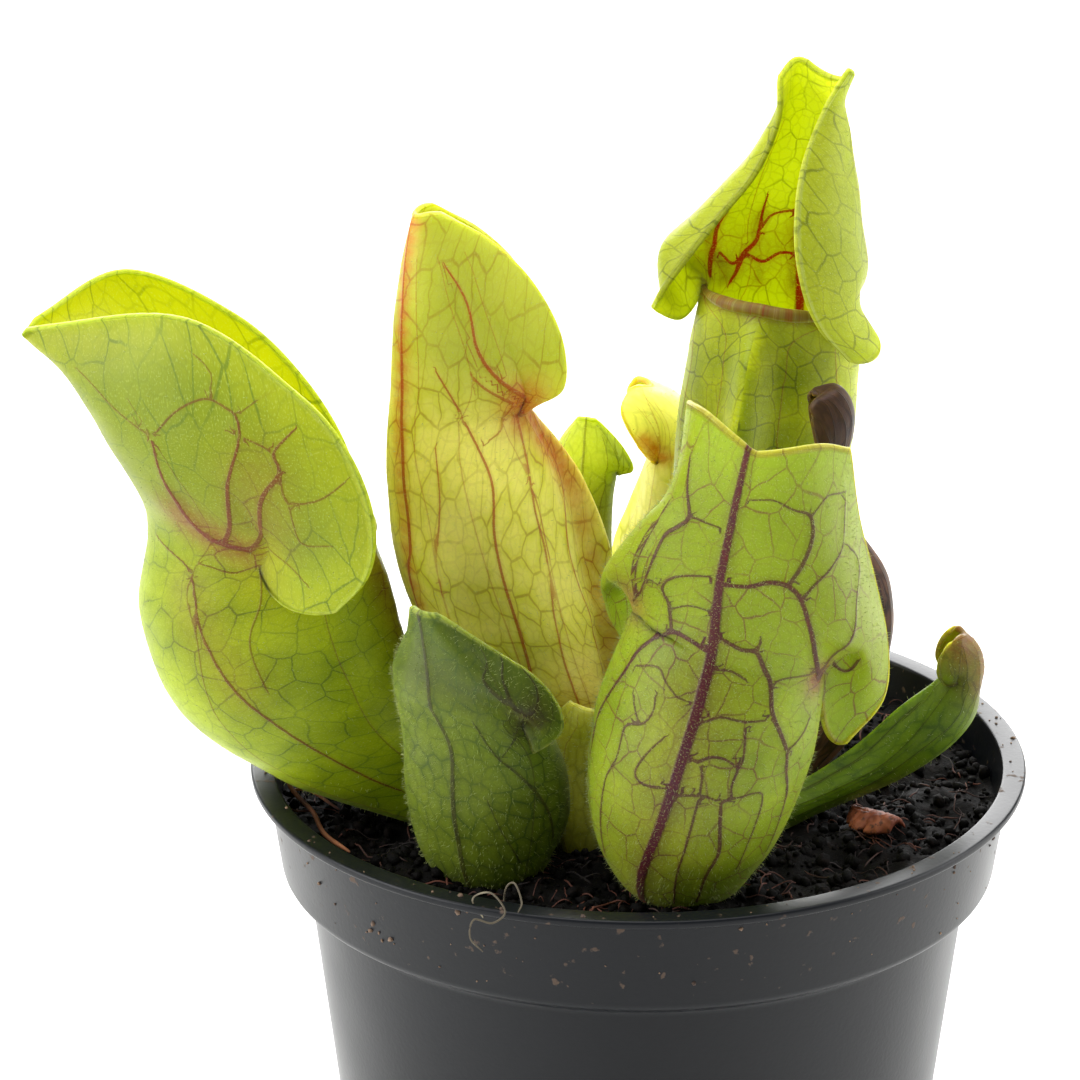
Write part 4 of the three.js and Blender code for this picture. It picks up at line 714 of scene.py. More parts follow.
# Drawn veins: half widths in mm at equal steps along the vein, tone, and places as u and v.
DRAWN_VEINS = {
    "pitcher_front": [
        ([0.42, 0.55, 0.62, 0.62, 0.5, 0.36], 1.0, [
            (0, 0.1), (-0.06, 0.35), (0, 0.6), (0.02, 0.78), (0.02, 0.95), (-0.01, 1.28), (-0.03, 1.66),
            (-0.05, 2.0)]),
        ([0.22, 0.3, 0.26, 0.35], 0.95, [
            (0, 1.38), (0.07, 1.41), (0.13, 1.46), (0.2, 1.48), (0.26, 1.45), (0.31, 1.34), (0.38, 1.16),
            (0.52, 0.99)]),
        ([0.24, 0.26, 0.12, 0.08], 0.85, [
            (0.2, 1.48), (0.26, 1.58), (0.34, 1.73), (0.34, 1.8), (0.23, 1.8), (0.12, 1.81), (0.02, 1.78)]),
        ([0.14, 0.1], 0.7, [(0.34, 1.8), (0.53, 1.87), (0.78, 1.89)]),
        ([0.22, 0.14, 0.1], 0.85, [(0.26, 1.45), (0.33, 1.54), (0.47, 1.65), (0.63, 1.75), (0.78, 1.88)]),
        ([0.3, 0.16, 0.1], 0.85, [(0.52, 0.99), (0.48, 1.24), (0.6, 1.52), (0.77, 1.68), (0.67, 1.74)]),
        ([0.3, 0.22, 0.16], 0.9, [(0.54, 0.99), (0.69, 1.13), (0.67, 1.26)]),
        ([0.2, 0.24, 0.28, 0.28, 0.26, 0.22, 0.16], 0.9, [
            (0, 1.1), (0.03, 1.11), (0.11, 1.09), (0.16, 1.1), (0.21, 1.04), (0.26, 0.98), (0.29, 0.91),
            (0.35, 0.85), (0.39, 0.8), (0.41, 0.74), (0.45, 0.65), (0.45, 0.5)]),
        ([0.2, 0.14], 0.85, [(0.16, 1.1), (0.16, 1.16)]),
        ([0.14, 0.14], 0.7, [(0.26, 0.98), (0.34, 1.01), (0.45, 1.03)]),
        ([0.16, 0.12], 0.8, [(0.39, 0.8), (0.46, 0.84), (0.5, 0.88)]),
        ([0.16, 0.13], 0.8, [(0.01, 0.84), (0.06, 0.86), (0.11, 0.88), (0.19, 0.88), (0.28, 0.89)]),
        ([0.14, 0.16, 0.18, 0.24, 0.16], 0.85, [
            (0.2, 0.88), (0.22, 0.79), (0.21, 0.76), (0.2, 0.71), (0.21, 0.68), (0.18, 0.67), (0.2, 0.6),
            (0.22, 0.54), (0.2, 0.47), (0.2, 0.36)]),
        ([0.2, 0.14, 0.12], 0.8, [
            (0.01, 0.75), (0.07, 0.76), (0.1, 0.71), (0.1, 0.57), (0.09, 0.47), (0.1, 0.35)]),
        ([0.2, 0.14], 0.85, [(0.07, 0.76), (0.11, 0.78), (0.16, 0.78), (0.21, 0.76)]),
        ([0.18, 0.13], 0.8, [(0, 0.66), (0.11, 0.68), (0.18, 0.67)]),
        ([0.13, 0.12], 0.75, [(0.21, 0.68), (0.32, 0.69), (0.33, 0.59), (0.32, 0.48)]),
        ([0.16, 0.13], 0.8, [(0.03, 0.98), (0.1, 0.99), (0.16, 0.98)]),
        ([0.26, 0.26, 0.24, 0.2], 0.95, [
            (-0.02, 1.04), (-0.07, 1.06), (-0.16, 1.07), (-0.24, 0.98), (-0.29, 0.93), (-0.32, 0.86),
            (-0.38, 0.76), (-0.42, 0.6)]),
        ([0.26, 0.18, 0.12], 0.85, [(-0.16, 1.07), (-0.18, 1.2), (-0.21, 1.29), (-0.17, 1.36), (-0.05, 1.4)]),
        ([0.12, 0.1], 0.7, [(-0.17, 1.18), (-0.1, 1.22), (-0.03, 1.22)]),
        ([0.14, 0.1], 0.7, [(-0.21, 1.29), (-0.28, 1.34)]),
        ([0.22, 0.24, 0.14], 0.9, [
            (-0.29, 1.55), (-0.25, 1.58), (-0.22, 1.64), (-0.34, 1.78), (-0.49, 1.89)]),
        ([0.16, 0.1], 0.8, [(-0.22, 1.64), (-0.14, 1.62), (-0.07, 1.61)]),
        ([0.16, 0.1], 0.9, [(-0.38, 1.15), (-0.36, 1.19), (-0.37, 1.34), (-0.42, 1.6)]),
        ([0.16, 0.12, 0.1], 0.9, [(-0.38, 1.15), (-0.34, 1.23), (-0.37, 1.5), (-0.42, 1.72)]),
        ([0.16, 0.14, 0.2], 0.9, [(-0.38, 1.15), (-0.31, 1.25), (-0.28, 1.41), (-0.29, 1.55)]),
        ([0.13, 0.1], 0.7, [(-0.27, 0.9), (-0.17, 0.93), (-0.12, 0.91), (-0.06, 0.89), (-0.03, 0.89)]),
        ([0.2, 0.14, 0.1], 0.8, [(-0.03, 0.67), (-0.1, 0.66), (-0.13, 0.68), (-0.1, 0.74), (-0.06, 0.79)]),
        ([0.16, 0.14, 0.12], 0.8, [(-0.16, 0.79), (-0.22, 0.76), (-0.22, 0.68), (-0.26, 0.59), (-0.26, 0.4)]),
        ([0.12, 0.12], 0.75, [(-0.14, 0.87), (-0.13, 0.83), (-0.16, 0.79), (-0.2, 0.81), (-0.23, 0.84)]),
    ],
    "pitcher_left": [
        ([0.14, 0.2, 0.3, 0.4, 0.4], 0.9, [
            (0.51, 1.66), (0.46, 1.54), (0.43, 1.44), (0.42, 1.29), (0.45, 1.2), (0.5, 1.16), (0.57, 1.13)]),
        ([0.3, 0.28, 0.2, 0.14], 0.85, [(0.5, 1.19), (0.6, 1.41), (0.68, 1.53), (0.82, 1.68)]),
        ([0.14, 0.12], 0.65, [(0.82, 1.68), (0.78, 1.72), (0.65, 1.71), (0.51, 1.66)]),
        ([0.1, 0.08], 0.5, [(0.78, 1.72), (0.86, 1.75), (0.88, 1.79)]),
        ([0.12, 0.08], 0.5, [(0.51, 1.66), (0.46, 1.7), (0.42, 1.75), (0.4, 1.85)]),
        ([0.3, 0.28, 0.18, 0.12], 0.8, [(0.57, 1.14), (0.7, 1.41), (0.81, 1.51), (0.83, 1.57), (0.92, 1.61)]),
        ([0.14, 0.1], 0.6, [(0.81, 1.51), (0.79, 1.43), (0.87, 1.42), (0.97, 1.45)]),
        ([0.12, 0.1], 0.6, [(0.83, 1.57), (0.8, 1.61), (0.76, 1.65)]),
        ([0.1, 0.08], 0.5, [(0.82, 1.68), (0.91, 1.69), (0.97, 1.69)]),
        ([0.13, 0.1], 0.5, [(0.57, 1.14), (0.71, 1.17), (0.82, 1.12)]),
        ([0.1, 0.1], 0.5, [(0.79, 1.43), (0.78, 1.3), (0.87, 1.29)]),
        ([0.1, 0.15, 0.17, 0.14, 0.1], 0.75, [
            (0.22, 1.09), (0.4, 0.98), (0.46, 0.83), (0.5, 0.74), (0.57, 0.62), (0.62, 0.5), (0.64, 0.36)]),
        ([0.12, 0.1], 0.5, [(0.62, 1.04), (0.63, 0.91), (0.59, 0.81), (0.6, 0.7)]),
        ([0.12, 0.12], 0.6, [(0.42, 1.02), (0.55, 0.99), (0.62, 1.04)]),
        ([0.2, 0.2], 0.5, [(0, 0.1), (0.01, 0.5), (0, 1.0), (0, 1.5), (0, 1.98)]),
    ],
    "pitcher_back": [
        ([0.26, 0.22, 0.14, 0.1], 0.85, [
            (0.64, 1.11), (0.51, 1.23), (0.47, 1.36), (0.53, 1.55), (0.47, 1.71)]),
        ([0.2, 0.1], 0.7, [(0.56, 1.09), (0.44, 1.19), (0.4, 1.25)]),
        ([0.1, 0.14, 0.16, 0.18, 0.18], 0.8, [
            (0.26, 1.24), (0.36, 1.03), (0.41, 0.9), (0.38, 0.78), (0.39, 0.62), (0.38, 0.5), (0.34, 0.3)]),
        ([0.14, 0.1], 0.6, [(0.56, 1.09), (0.52, 0.99), (0.44, 0.96)]),
        ([0.09, 0.12, 0.12], 0.7, [(0.25, 0.95), (0.24, 0.85), (0.21, 0.76), (0.19, 0.64), (0.16, 0.4)]),
        ([0.2, 0.14, 0.12], 0.7, [
            (0.65, 1.1), (0.58, 0.95), (0.53, 0.84), (0.53, 0.74), (0.5, 0.58), (0.5, 0.3)]),
        ([0.12, 0.2, 0.24, 0.2], 0.85, [
            (0.04, 1.95), (0.08, 1.56), (0.09, 1.23), (0.11, 0.93), (0.11, 0.75), (0.07, 0.66), (0.05, 0.3)]),
        ([0.2, 0.16, 0.12], 0.7, [(0.76, 0.98), (0.74, 0.86), (0.64, 0.75), (0.67, 0.61), (0.69, 0.44)]),
    ],
    "pitcher_tall": [
        ([0.5, 0.7, 0.75, 0.3, 0.12], 1.0, [
            (-0.02, 0.9), (-0.01, 1.05), (0.01, 1.24), (0.02, 1.4), (0, 1.6)]),
        ([0.12, 0.3, 0.35, 0.3], 1.0, [(0.35, 1.42), (0.37, 1.21), (0.42, 1.14), (0.53, 1.04)]),
        ([0.1, 0.25, 0.35, 0.25], 1.0, [(0.18, 1.4), (0.18, 1.21), (0.26, 1.12), (0.35, 0.99)]),
        ([0.2, 0.2], 1.0, [
            (0.37, 1.14), (0.33, 1.08), (0.24, 1.12), (0.17, 1.09), (0.09, 1.14), (0.01, 1.14)]),
        ([0.16, 0.16], 0.95, [(0.17, 1.24), (0.13, 1.31), (0.03, 1.34)]),
    ],
    "pitcher_small": [
        ([0.2, 0.22, 0.26, 0.3, 0.3], 0.7, [
            (0.01, 1.98), (0.03, 1.5), (0.05, 1.07), (0.1, 0.88), (0.08, 0.73), (0.07, 0.61), (0.09, 0.47),
            (0.12, 0.3)]),
        ([0.1, 0.2, 0.3], 0.8, [(0.95, 1.74), (0.66, 1.61), (0.6, 1.43), (0.67, 1.34)]),
        ([0.08, 0.16, 0.22], 0.75, [(0.8, 1.79), (0.46, 1.57), (0.53, 1.44), (0.6, 1.43)]),
        ([0.1, 0.24], 0.8, [(0.98, 1.66), (0.9, 1.53), (0.74, 1.4)]),
        ([0.1, 0.16, 0.18], 0.7, [(0.3, 0.98), (0.33, 0.86), (0.42, 0.77), (0.53, 0.62), (0.6, 0.45)]),
        ([0.1, 0.14], 0.6, [(0.36, 0.85), (0.5, 0.94), (0.63, 1.04)]),
        ([0.1, 0.1], 0.5, [(0.24, 0.65), (0.3, 0.53), (0.41, 0.39)]),
    ],
    "pitcher_hooded": [([0.16, 0.12], 0.4, [(0, 0.3), (0, 1.0), (0.01, 1.5), (0, 2.0)])],
    "pitcher_right": [([0.15, 0.15], 0.5, [(-0.9, 0.2), (-0.92, 0.5), (-0.92, 0.8)])],
}

# %% [markdown]
# ## How each leaf is coloured
# The leaves differ in age and in the light that they had: a young one is pale yellow, a grown one fresh
# green with a fine green net, and one that grew in full sun is netted with dark purple. Each leaf's look
# lists its colours, the size of the cells of its net in mm, and where red has flushed it.

# %% Looks of the pitchers
GREEN = {
    "cell": "#829208", "net": "#4c5c08", "vein": "#58120f", "rim": "#8f9c34", "inner": "#adc008",
    "throat": "#6e2012", "cell_size": (3.2, 3.8), "net_width": 0.1, "net_share": 0.8, "halo": 0.25,
    "strands": 4, "fan": 0, "strand_width": 0.09, "strand_tone": 0.4, "fan_tone": 0.4, "flushes": [],
    "hairs": 1500, "bloom": 0.22, "slot": "leaf_green",
}
LOOKS = {
    "pitcher_left": {
        **GREEN, "young": "#8e9e04", "grown": "#6d7e01", "cell": "#849303", "hood": "#606801",
        "inner": "#b5b20a", "cell_size": (3.6, 4.2), "strands": 2, "hairs": 2000,
        "flushes": [
            ([(0.39, 1.3), (0.44, 1.22), (0.55, 1.12)], 3, 0.7), ([(0.74, 1.5), (0.55, 1.12)], 5, 0.3),
            ([(0.41, 0.94), (0.53, 0.73)], 4, 0.25), ([(1.05, 0.95), (1.1, 0.7)], 3, 0.5),
        ],
    },
    "pitcher_back": {
        **GREEN, "young": "#ede464", "grown": "#cbcc35", "cell": "#f1ea70", "hood": "#8d9917",
        "net": "#8a6c1c", "vein": "#963c12", "rim": "#b4b850", "inner": "#b9b440", "throat": "#bc5a22",
        "net_width": 0.085, "cell_size": (2.3, 4.4), "net_share": 0.6, "halo": 0.3, "strand_width": 0.08,
        "strand_tone": 0.35, "hairs": 1200, "slot": "leaf_yellow",
        "flushes": [
            ([(0.6, 1.1), (0.7, 1.0), (0.8, 0.8), (0.8, 0.3)], 2.8, 0.95),
            ([(0.06, 1.95), (0.09, 1.0), (0.08, 0.6)], 1.2, 0.7), ([(0.5, 0.4), (0.3, 0.2)], 7, 0.3),
        ],
    },
    "pitcher_tall": {
        **GREEN, "young": "#b4bc07", "grown": "#879504", "hood": "#7e8810", "net": "#545a0c",
        "vein": "#7a0608", "rim": "#8a9038", "inner": "#c1c424", "throat": "#5a1a18",
        "cell_size": (2.6, 3.2), "net_share": 0.75,
        "flushes": [
            ([(0, 1.0), (0, 1.25)], 1.8, 0.7), ([(0.4, 1.15), (-0.3, 1.15)], 4.5, 0.36),
            ([(0.4, 1.02), (0.4, 1.3)], 1.6, 0.6), ([(0.2, 1.0), (0.18, 1.3)], 1.4, 0.5),
            ([(-0.55, 1.1), (-0.4, 1.2)], 3, 0.4), ([(0.66, 1.0), (0.9, 1.0), (1.12, 1.0)], 0.9, 0.8),
            ([(-0.66, 1.0), (-0.9, 1.0), (-1.12, 1.0)], 0.9, 0.8),
        ],
    },
    "pitcher_front": {
        **GREEN, "young": "#81930e", "grown": "#647805", "cell": "#768a0a", "hood": "#717e06",
        "net": "#5c3a1c", "vein": "#3e0c1b", "rim": "#8f7a30", "inner": "#95a81c", "throat": "#7a2238",
        "net_width": 0.09, "net_share": 0.85, "halo": 0.35, "strands": 0, "hairs": 6000,
        "flushes": [([(0, 0.3), (0, 0.9)], 7, 0.22), ([(0.52, 1.0)], 2.4, 1.0), ([(-0.4, 1.15)], 3, 0.6)],
        "slot": "leaf_veined",
    },
    "pitcher_small": {
        **GREEN, "young": "#5d6a17", "grown": "#46550c", "cell": "#67751c", "hood": "#2e3502",
        "net": "#2f4210", "vein": "#2c2416", "rim": "#8c9448", "inner": "#66802a", "throat": "#2c1c18",
        "cell_size": (2.1, 2.8), "net_share": 0.75, "strands": 2, "hairs": 3500, "bloom": 0.1,
        "flushes": [([(0.62, 1.1), (0.66, 1.3)], 2.2, 0.9), ([(-0.6, 1.1)], 2, 0.6)],
        "slot": "leaf_olive",
    },
    "pitcher_hooded": {
        **GREEN, "young": "#a6ab40", "grown": "#8a9321", "cell": "#a0a538", "hood": "#b2b64e",
        "vein": "#4a3410", "cell_size": (1.3, 2.4), "net_share": 0.4, "strands": 3, "fan": 4,
        "strand_width": 0.06, "hairs": 250,
    },
    "pitcher_pale": {
        **GREEN, "young": "#e9e179", "grown": "#c7c644", "cell": "#f1eb8e", "hood": "#f2ec83",
        "net": "#8c8a24", "vein": "#9a5418", "rim": "#b07434", "inner": "#c8c64a", "throat": "#b86424",
        "cell_size": (1.3, 3.2), "net_share": 0.25, "fan": 4, "strand_width": 0.06, "strand_tone": 0.3,
        "flushes": [([(-0.82, 1.3), (-0.6, 1.1)], 1.4, 0.9), ([(0.7, 1.05)], 1.6, 0.8)],
        "hairs": 250, "slot": "leaf_yellow",
    },
    "pitcher_bud": {
        **GREEN, "young": "#9c9a2a", "grown": "#7c8014", "cell": "#a4a23a", "hood": "#a4a234",
        "net": "#62621a", "rim": "#bdb868", "inner": "#a4a22e", "cell_size": (1.3, 2.4),
        "net_share": 0.4, "fan": 3, "strand_width": 0.06, "hairs": 500, "slot": "leaf_yellow",
    },
    "pitcher_right": {
        **GREEN, "young": "#627c09", "grown": "#425c03", "cell": "#66800d", "hood": "#5d6c0e",
        "net": "#2f460c", "vein": "#2c220e", "rim": "#5f5424", "inner": "#5c7014", "throat": "#6b4420",
        "cell_size": (1.2, 3.4), "net_share": 0.4, "fan": 3, "strand_width": 0.07,
        "flushes": [
            ([(0, 1.9), (0, 1.2)], 3.2, 1.0), ([(0.9, 1.5)], 2.5, 1.0),
            ([(-0.6, 1.95), (-0.6, 1.7)], 2.5, 1.0), ([(0.6, 1.95), (0.6, 1.7)], 2.5, 1.0),
        ],
        "hairs": 400, "bloom": 0.1, "slot": "leaf_olive",
    },
    "pitcher_dead": {
        **GREEN, "young": "#5c3926", "grown": "#39241c", "cell": "#65432e", "hood": "#3e281e",
        "net": "#1a100c", "vein": "#170d0a", "rim": "#5a3f2a", "inner": "#38241a", "throat": "#170d0a",
        "cell_size": (0.8, 4.0), "net_width": 0.12, "strands": 5, "fan": 3, "strand_width": 0.1,
        "hairs": 0, "bloom": 0.0, "slot": "leaf_dead",
    },
}
print("looks:", len(LOOKS), "leaves,", sum(look["hairs"] for look in LOOKS.values()), "hairs")

# %% [markdown]
# ## The finish of a living leaf
# A pitcher's blade is thin, waxy and full of water. It shines softly, light that falls on one side glows
# through to the other, and its down gives it a pale bloom where it is seen edge on: so the shader scatters
# some light under the surface and has a sheen. Small veins enclose cells of about 3 mm. They are the edges
# of a Voronoi pattern, laid out on the flat map of the leaf in mm and bent by a slow noise, so that no edge
# is straight, and a second net of half the size is fainter. On the inner face the net is weaker. Real net
# veins are 0.1 mm wide, and these are drawn 0.2 mm wide so that they show. The blade is paler in a band
# along its edge, and redder where its red flush lies.


# %% Leaf material
NET_SIZES = (1.0, 0.45)
FINE_NET_SHARE, INNER_NET_SHARE = 0.2, 0.7
DRIFT_SCALE, DRIFT_REACH = 0.3, 1.3
PATCH_SCALE, MOTTLE_SCALE, DOWN_SCALE = 0.13, 1.1, 5.0
PALE_BAND, PALE_SHARE = 8.0, 0.22
GAP_LESS = 0.5
SUBSURFACE_RADII, SUBSURFACE_DEPTH = (0.9, 1.0, 0.1), 3.0


def leaf_blade(name, look):
    """Waxy living leaf: ground colour, cells, two nets, flush, main veins, rim and inner face, in layers."""
    material, tree = new_material(name)
    flat = add_node(tree, "UVMap", out="UV", uv_map="flat_mm")
    gap, signed, half_width, tone, flush, rim, inside, above = (
        add_node(tree, "Attribute", out="Fac", attribute_name=field)
        for field in ("gap", "signed", "half_width", "tone", "flush", "rim", "inside", "above")
    )
    drift = add_node(tree, "TexNoise", {"Vector": flat, "Scale": DRIFT_SCALE, "Detail": 2.0}, "Color")
    drift = add_node(tree, "VectorMath", {0: drift, 1: (0.5, 0.5, 0.5)}, operation="SUBTRACT")
    drift = add_node(tree, "VectorMath", {0: drift, "Scale": DRIFT_REACH}, operation="SCALE")
    bent = add_node(tree, "VectorMath", {0: flat, 1: drift}, operation="ADD")
    patches = add_node(tree, "TexNoise", {"Vector": flat, "Scale": PATCH_SCALE, "Detail": 2.0})
    mottle = add_node(
        tree, "TexNoise", {"Vector": flat, "Scale": MOTTLE_SCALE, "Detail": 3.0, "Roughness": 0.65}
    )
    down = add_node(tree, "TexNoise", {"Vector": flat, "Scale": DOWN_SCALE, "Detail": 2.0})

    wide, tall = look["cell_size"]
    nets, lines = [], []
    for share in NET_SIZES:
        size = (1 / (wide * share), 1 / (tall * share), 1.0)
        mapped = add_node(tree, "Mapping", {"Vector": bent, "Scale": size})
        net = add_node(
            tree, "TexVoronoi", {"Vector": mapped, "Scale": 1.0, "Randomness": 0.8}, "Distance",
            feature="DISTANCE_TO_EDGE", voronoi_dimensions="2D",
        )
        half_line = look["net_width"] / (wide * share)
        nets.append(net)
        lines.append(add_node(tree, "MapRange", {
            "Value": net, "From Min": 0.4 * half_line, "From Max": 1.5 * half_line,
            "To Min": 1.0, "To Max": 0.0,
        }, interpolation_type="SMOOTHSTEP"))
    broken = add_node(tree, "MapRange", {
        "Value": patches, "From Min": 0.38, "From Max": 0.6, "To Min": 0.35, "To Max": 1.0,
    })
    net_mask = add_node(tree, "Math", {0: lines[0], 1: broken}, operation="MULTIPLY")
    strength = add_node(tree, "MapRange", {
        "Value": inside, "To Min": look["net_share"], "To Max": INNER_NET_SHARE * look["net_share"],
    })
    net_mask = add_node(tree, "Math", {0: net_mask, 1: strength}, operation="MULTIPLY")
    fine_share = FINE_NET_SHARE * look["net_share"]
    fine_mask = add_node(tree, "Math", {0: lines[1], 1: fine_share}, operation="MULTIPLY")
    bulge = add_node(tree, "MapRange", {"Value": nets[0], "From Min": 0.0, "From Max": 0.32})
    bulge_mask = add_node(tree, "Math", {0: bulge, 1: 0.5}, operation="MULTIPLY")

    # Near a vein the distance with its side is exact. Farther off the plain distance holds, less a little.
    exact = add_node(tree, "Math", {0: signed}, operation="ABSOLUTE")
    plain = add_node(tree, "Math", {0: gap, 1: GAP_LESS}, operation="SUBTRACT")
    away = add_node(tree, "Math", {0: exact, 1: plain}, operation="MAXIMUM")
    thorns = add_node(tree, "MapRange", {"Value": down, "To Min": -0.05, "To Max": 0.07})
    away = add_node(tree, "Math", {0: away, 1: thorns}, operation="ADD")
    away = add_node(tree, "Math", {0: away, 1: half_width}, operation="DIVIDE")
    drawn = add_node(tree, "MapRange", {
        "Value": away, "From Min": 0.7, "From Max": 1.3, "To Min": 1.0, "To Max": 0.0,
    }, interpolation_type="SMOOTHSTEP")
    drawn_mask = add_node(tree, "Math", {0: drawn, 1: tone}, operation="MULTIPLY")
    halo = add_node(tree, "MapRange", {
        "Value": away, "From Min": 0.8, "From Max": 3.5, "To Min": look["halo"], "To Max": 0.0,
    })
    halo_mask = add_node(tree, "Math", {0: halo, 1: tone}, operation="MULTIPLY")
    rim_mask = add_node(tree, "MapRange", {
        "Value": rim, "From Min": 0.1, "From Max": 0.5, "To Min": 0.6, "To Max": 0.0,
    }, interpolation_type="SMOOTHSTEP")
    uneven = add_node(tree, "Math", {0: mottle, 1: 0.4}, operation="ADD")
    flush_mask = add_node(tree, "Math", {0: flush, 1: uneven}, operation="MULTIPLY", use_clamp=True)
    pale_mask = add_node(tree, "MapRange", {
        "Value": rim, "From Min": 0.5, "From Max": PALE_BAND, "To Min": PALE_SHARE, "To Max": 0.0,
    }, interpolation_type="SMOOTHSTEP")
    ground_share = add_node(tree, "MapRange", {"Value": patches, "From Min": 0.35, "From Max": 0.65})
    ground = layered(tree, linear(look["young"]), [(ground_share, look["grown"])])
    inner_mask = add_node(tree, "Math", {0: inside, 1: 0.8}, operation="MULTIPLY")
    hood_mask = add_node(tree, "Math", {0: above, 1: 0.75}, operation="MULTIPLY")
    mottle_mask = add_node(tree, "MapRange", {
        "Value": mottle, "From Min": 0.45, "From Max": 0.75, "To Min": 0.0, "To Max": 0.4,
    })
    down_mask = add_node(tree, "MapRange", {
        "Value": down, "From Min": 0.55, "From Max": 0.7, "To Min": 0.0, "To Max": look["bloom"],
    })
    net_red = add_node(tree, "Math", {0: flush, 1: 2.5}, operation="MULTIPLY", use_clamp=True)
    net_colour = layered(tree, linear(look["net"]), [(net_red, look["vein"])])
    colour = layered(tree, ground, [
        (bulge_mask, look["cell"]), (mottle_mask, look["grown"]), (hood_mask, look["hood"]),
        (pale_mask, look["inner"]), (inner_mask, look["inner"]), (rim_mask, look["rim"]),
        (flush_mask, look["throat"]), (fine_mask, net_colour), (net_mask, net_colour),
        (halo_mask, look["vein"]), (drawn_mask, look["vein"]), (down_mask, "#b4be6c"),
    ])
    height = add_node(tree, "Math", {0: down, 1: 0.5, 2: drawn}, operation="MULTIPLY_ADD")
    bump = add_node(tree, "Bump", {"Height": height, "Distance": 0.1 * MM, "Strength": 0.6})
    gloss = add_node(tree, "MapRange", {"Value": mottle, "To Min": 0.38, "To Max": 0.56})
    shader = add_node(tree, "BsdfPrincipled", {
        "Base Color": colour, "Roughness": gloss, "Normal": bump, "IOR": 1.42,
        "Subsurface Weight": 0.9, "Subsurface Radius": SUBSURFACE_RADII,
        "Subsurface Scale": SUBSURFACE_DEPTH * MM, "Specular IOR Level": 0.28, "Sheen Weight": 0.04,
        "Sheen Roughness": 0.4, "Sheen Tint": linear("#e6ecb0"),
    })
    add_node(tree, "OutputMaterial", {"Surface": shader})
    return material


# %% [markdown]
# ## Growing the pitchers
# Now the sheet, the veins and the finish come together. Each leaf replaces its plain packed form. Both come
# from the same formulas, so their outlines agree, but for small changes to the hoods of three leaves.


# %% Make the pitchers
VEIN_RELIEF, VEIN_FLANK = 0.22, 0.2
LUMP_RELIEF, LUMP_SIZE, LUMP_MARGIN = 0.16, 4.5, 3
LINE_STEPS = 24
WRAP_WIDTH = 12
HOOD_TINT = (0.9, 1.4)


def polyline(leaf, places, steps=LINE_STEPS):
    """Points along a line on a leaf, from its corners given as u and v, or the point of a single place."""
    places = np.array(places, float)
    if len(places) == 1:
        return leaf_point(leaf, places[:, 0], places[:, 1])
    share = np.linspace(0, 1, steps)
    corners = np.linspace(0, 1, len(places))
    return leaf_point(leaf, *(np.interp(share, corners, places[:, k]) for k in (0, 1)))


def distance_to(points, line):
    """The distance from each point to the nearest of a line's points, in mm."""
    gap = np.full(len(points), np.inf)
    for start in range(0, len(line), LINE_STEPS):
        step = np.linalg.norm(points[:, None] - line[start:start + LINE_STEPS], axis=-1)
        gap = np.minimum(gap, step.min(1))
    return gap


def leaf_fields(leaf, look, points, normals, v, loop, seed):
    """What material and relief need at each point: veins, red flush, distance to the rim and height."""
    drawn = [(*vein_path(leaf, places, halves), tone) for halves, tone, places in look["drawn"]]
    fields = vein_field(points, normals, drawn + grown_veins(leaf, look, seed))
    flush = np.zeros(len(points))
    for places, radius, strength in look["flushes"]:
        gap = distance_to(points, polyline(leaf, places))
        flush = np.maximum(flush, strength * np.exp(-((gap / radius) ** 2)))
    edge = points[loop]
    halfway = (edge + np.roll(edge, -1, 0)) / 2
    fields["rim"] = np.minimum(distance_to(points, np.concatenate([edge, halfway])), FAR)
    fields["flush"] = np.clip(flush, 0, 1)
    fields["above"] = smoothstep(v, *HOOD_TINT)
    return fields


